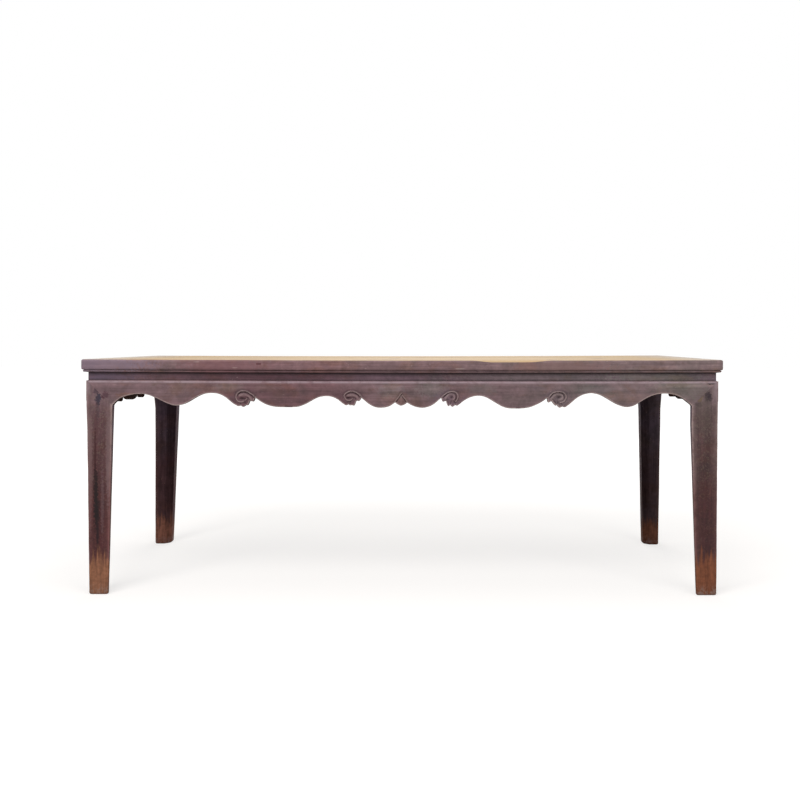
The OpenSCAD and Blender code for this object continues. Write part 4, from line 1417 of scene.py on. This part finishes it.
            # Outside lacquer, a copy with dust and painted shade for inward faces, and a copy
            # painted lighter, as lit from the side, for faces turned to the other end
            finishes = [
                lacquered_leg(f"lacquered_{name}", colours, low_tint, *foot, marks),
                lacquered_leg(f"dark_{name}", *look, colours.inside, 0.0),
                lacquered_leg(f"dull_{name}", *look, colours.side, 0.03),
            ]
            self.marks(obj, sx, sy)
            self.settle(obj, sx, LEG_SHIFTS[name])
            hand_made(obj, sizes.wave, 0.09, i + 31)
            finished(obj, "lacquered_wood", *finishes)


class TABLE_OT_joinery(TablePart, bpy.types.Operator):
    """Gives the battens, keys and pegs inside the table their wood"""

    bl_idname = "table.joinery"
    bl_label = "Inner pieces"

    def build(self, sizes, colours):
        across = inner_wood("raw_batten", "Y", colours, 1.0)
        upright = inner_wood("raw_key", "Z", colours, 2.5)
        for name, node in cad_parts.items():
            if name.startswith("batten") or "key" in name or "peg" in name:
                node.data.materials.clear()
                node.data.materials.append(across if name.startswith("batten") else upright)


class TABLE_OT_stage(TablePart, bpy.types.Operator):
    """Makes the floor, the light and the camera"""

    bl_idname = "table.stage"
    bl_label = "Stage"

    def build(self, sizes, colours):
        scene = bpy.context.scene
        scene.view_settings.view_transform = "Standard"
        self.floor()
        self.world(scene)
        # Large soft lamps: place, what they point at, size in metres and power in watts
        for name, place, aim, size, power in (
            ("key", (-1.7, -4.0, 3.9), (0, 0, 0.6), 3.2, 175),
            ("fill", (2.5, -4.4, 3.1), (0, 0, 0.5), 3.0, 80),
            ("over", (0.3, 0.2, 4.0), (0, 0, 0.8), 3.4, 50),
            ("rear", (0.0, 5.0, 3.2), (0, 0, 0.6), 3.0, 80),
        ):
            lamp = bpy.data.lights.new(name, "AREA")
            lamp.size = size
            lamp.energy = power
            turn = (Vector(aim) - Vector(place)).to_track_quat("-Z", "Y").to_euler()
            self.put(name, lamp, place, turn)
        # The camera looks level from in front of the table's middle, as the photo does
        camera = bpy.data.cameras.new("camera")
        camera.lens = 45.955
        camera.sensor_width = 36
        camera.shift_x = -0.0379
        camera.shift_y = -0.0738
        turn = (math.radians(90), math.radians(-0.115), 0)
        scene.camera = self.put("camera", camera, (0.100, -4.138, 0.908), turn)

    def put(self, name, data, place, turn):
        """A lamp or the camera in its place, turned to what it looks at."""
        obj = bpy.data.objects.new(name, data)
        obj.location = place
        obj.rotation_euler = turn
        bpy.context.collection.objects.link(obj)
        return obj

    def seen(self, add):
        """1 for what is seen straight, in a reflection or through glass, and 0 for other light."""
        rays = add("LightPath", out=None)
        seen = add("Math", (rays["Is Camera Ray"], rays["Is Glossy Ray"]), **LARGER)
        return add("Math", (seen, rays["Is Transmission Ray"]), **LARGER)

    def floor(self):
        """A pale floor that shows white to the camera and keeps the table's shadow."""
        bpy.ops.object.select_all(action="DESELECT")
        bpy.ops.mesh.primitive_plane_add(size=60)
        obj = taken("floor")
        material, add, place = new_material("pale_floor")
        diffuse = add("BsdfDiffuse", (rgba(linear("b4b0ac")),))
        away = add("VectorMath", (place,), "Value", operation="LENGTH")
        lift = add("MapRange", (away, 1.0, 5.0, 0.64, 1.0), **SMOOTH)
        both = add("AddShader", (diffuse, add("Emission", (WHITE, lift))))
        shader = add("MixShader", (self.seen(add), diffuse, both))
        add("OutputMaterial", (shader,), out=None)
        obj.data.materials.append(material)

    def world(self, scene):
        """White behind the table, and an even soft light from all round."""
        scene.world = scene.world or bpy.data.worlds.new("world")
        add = adder(scene.world)
        soft, white = [add("Background", (WHITE, strength)) for strength in (0.26, 1.0)]
        add("OutputWorld", (add("MixShader", (self.seen(add), soft, white)),), out=None)


STEPS = (
    TABLE_OT_rails,
    TABLE_OT_boards,
    TABLE_OT_waists,
    TABLE_OT_aprons,
    TABLE_OT_legs,
    TABLE_OT_joinery,
    TABLE_OT_stage,
)


class TABLE_PT_panel(bpy.types.Panel):
    """Lists the table's parts, sizes and colours"""

    bl_label = "Waisted Dining Table"
    bl_idname = "TABLE_PT_panel"
    bl_space_type = "VIEW_3D"
    bl_region_type = "UI"
    bl_category = "Table"

    def draw(self, context):
        for group in (context.scene.table_sizes, context.scene.table_colours):
            column = self.layout.column(align=True)
            for key in group.__annotations__:
                column.prop(group, key)
        for step in STEPS:
            self.layout.operator(step.bl_idname)


CLASSES = (TableSizes, TableColours, *STEPS, TABLE_PT_panel)


def register():
    for kind in CLASSES:
        bpy.utils.register_class(kind)
    bpy.types.Scene.table_sizes = bpy.props.PointerProperty(type=TableSizes)
    bpy.types.Scene.table_colours = bpy.props.PointerProperty(type=TableColours)


def unregister():
    del bpy.types.Scene.table_colours
    del bpy.types.Scene.table_sizes
    for kind in reversed(CLASSES):
        bpy.utils.unregister_class(kind)


def main():
    register()
    for step in STEPS:
        group, name = step.bl_idname.split(".")
        getattr(getattr(bpy.ops, group), name)()
    bpy.context.view_layer.update()


if __name__ == "__main__":
    main()
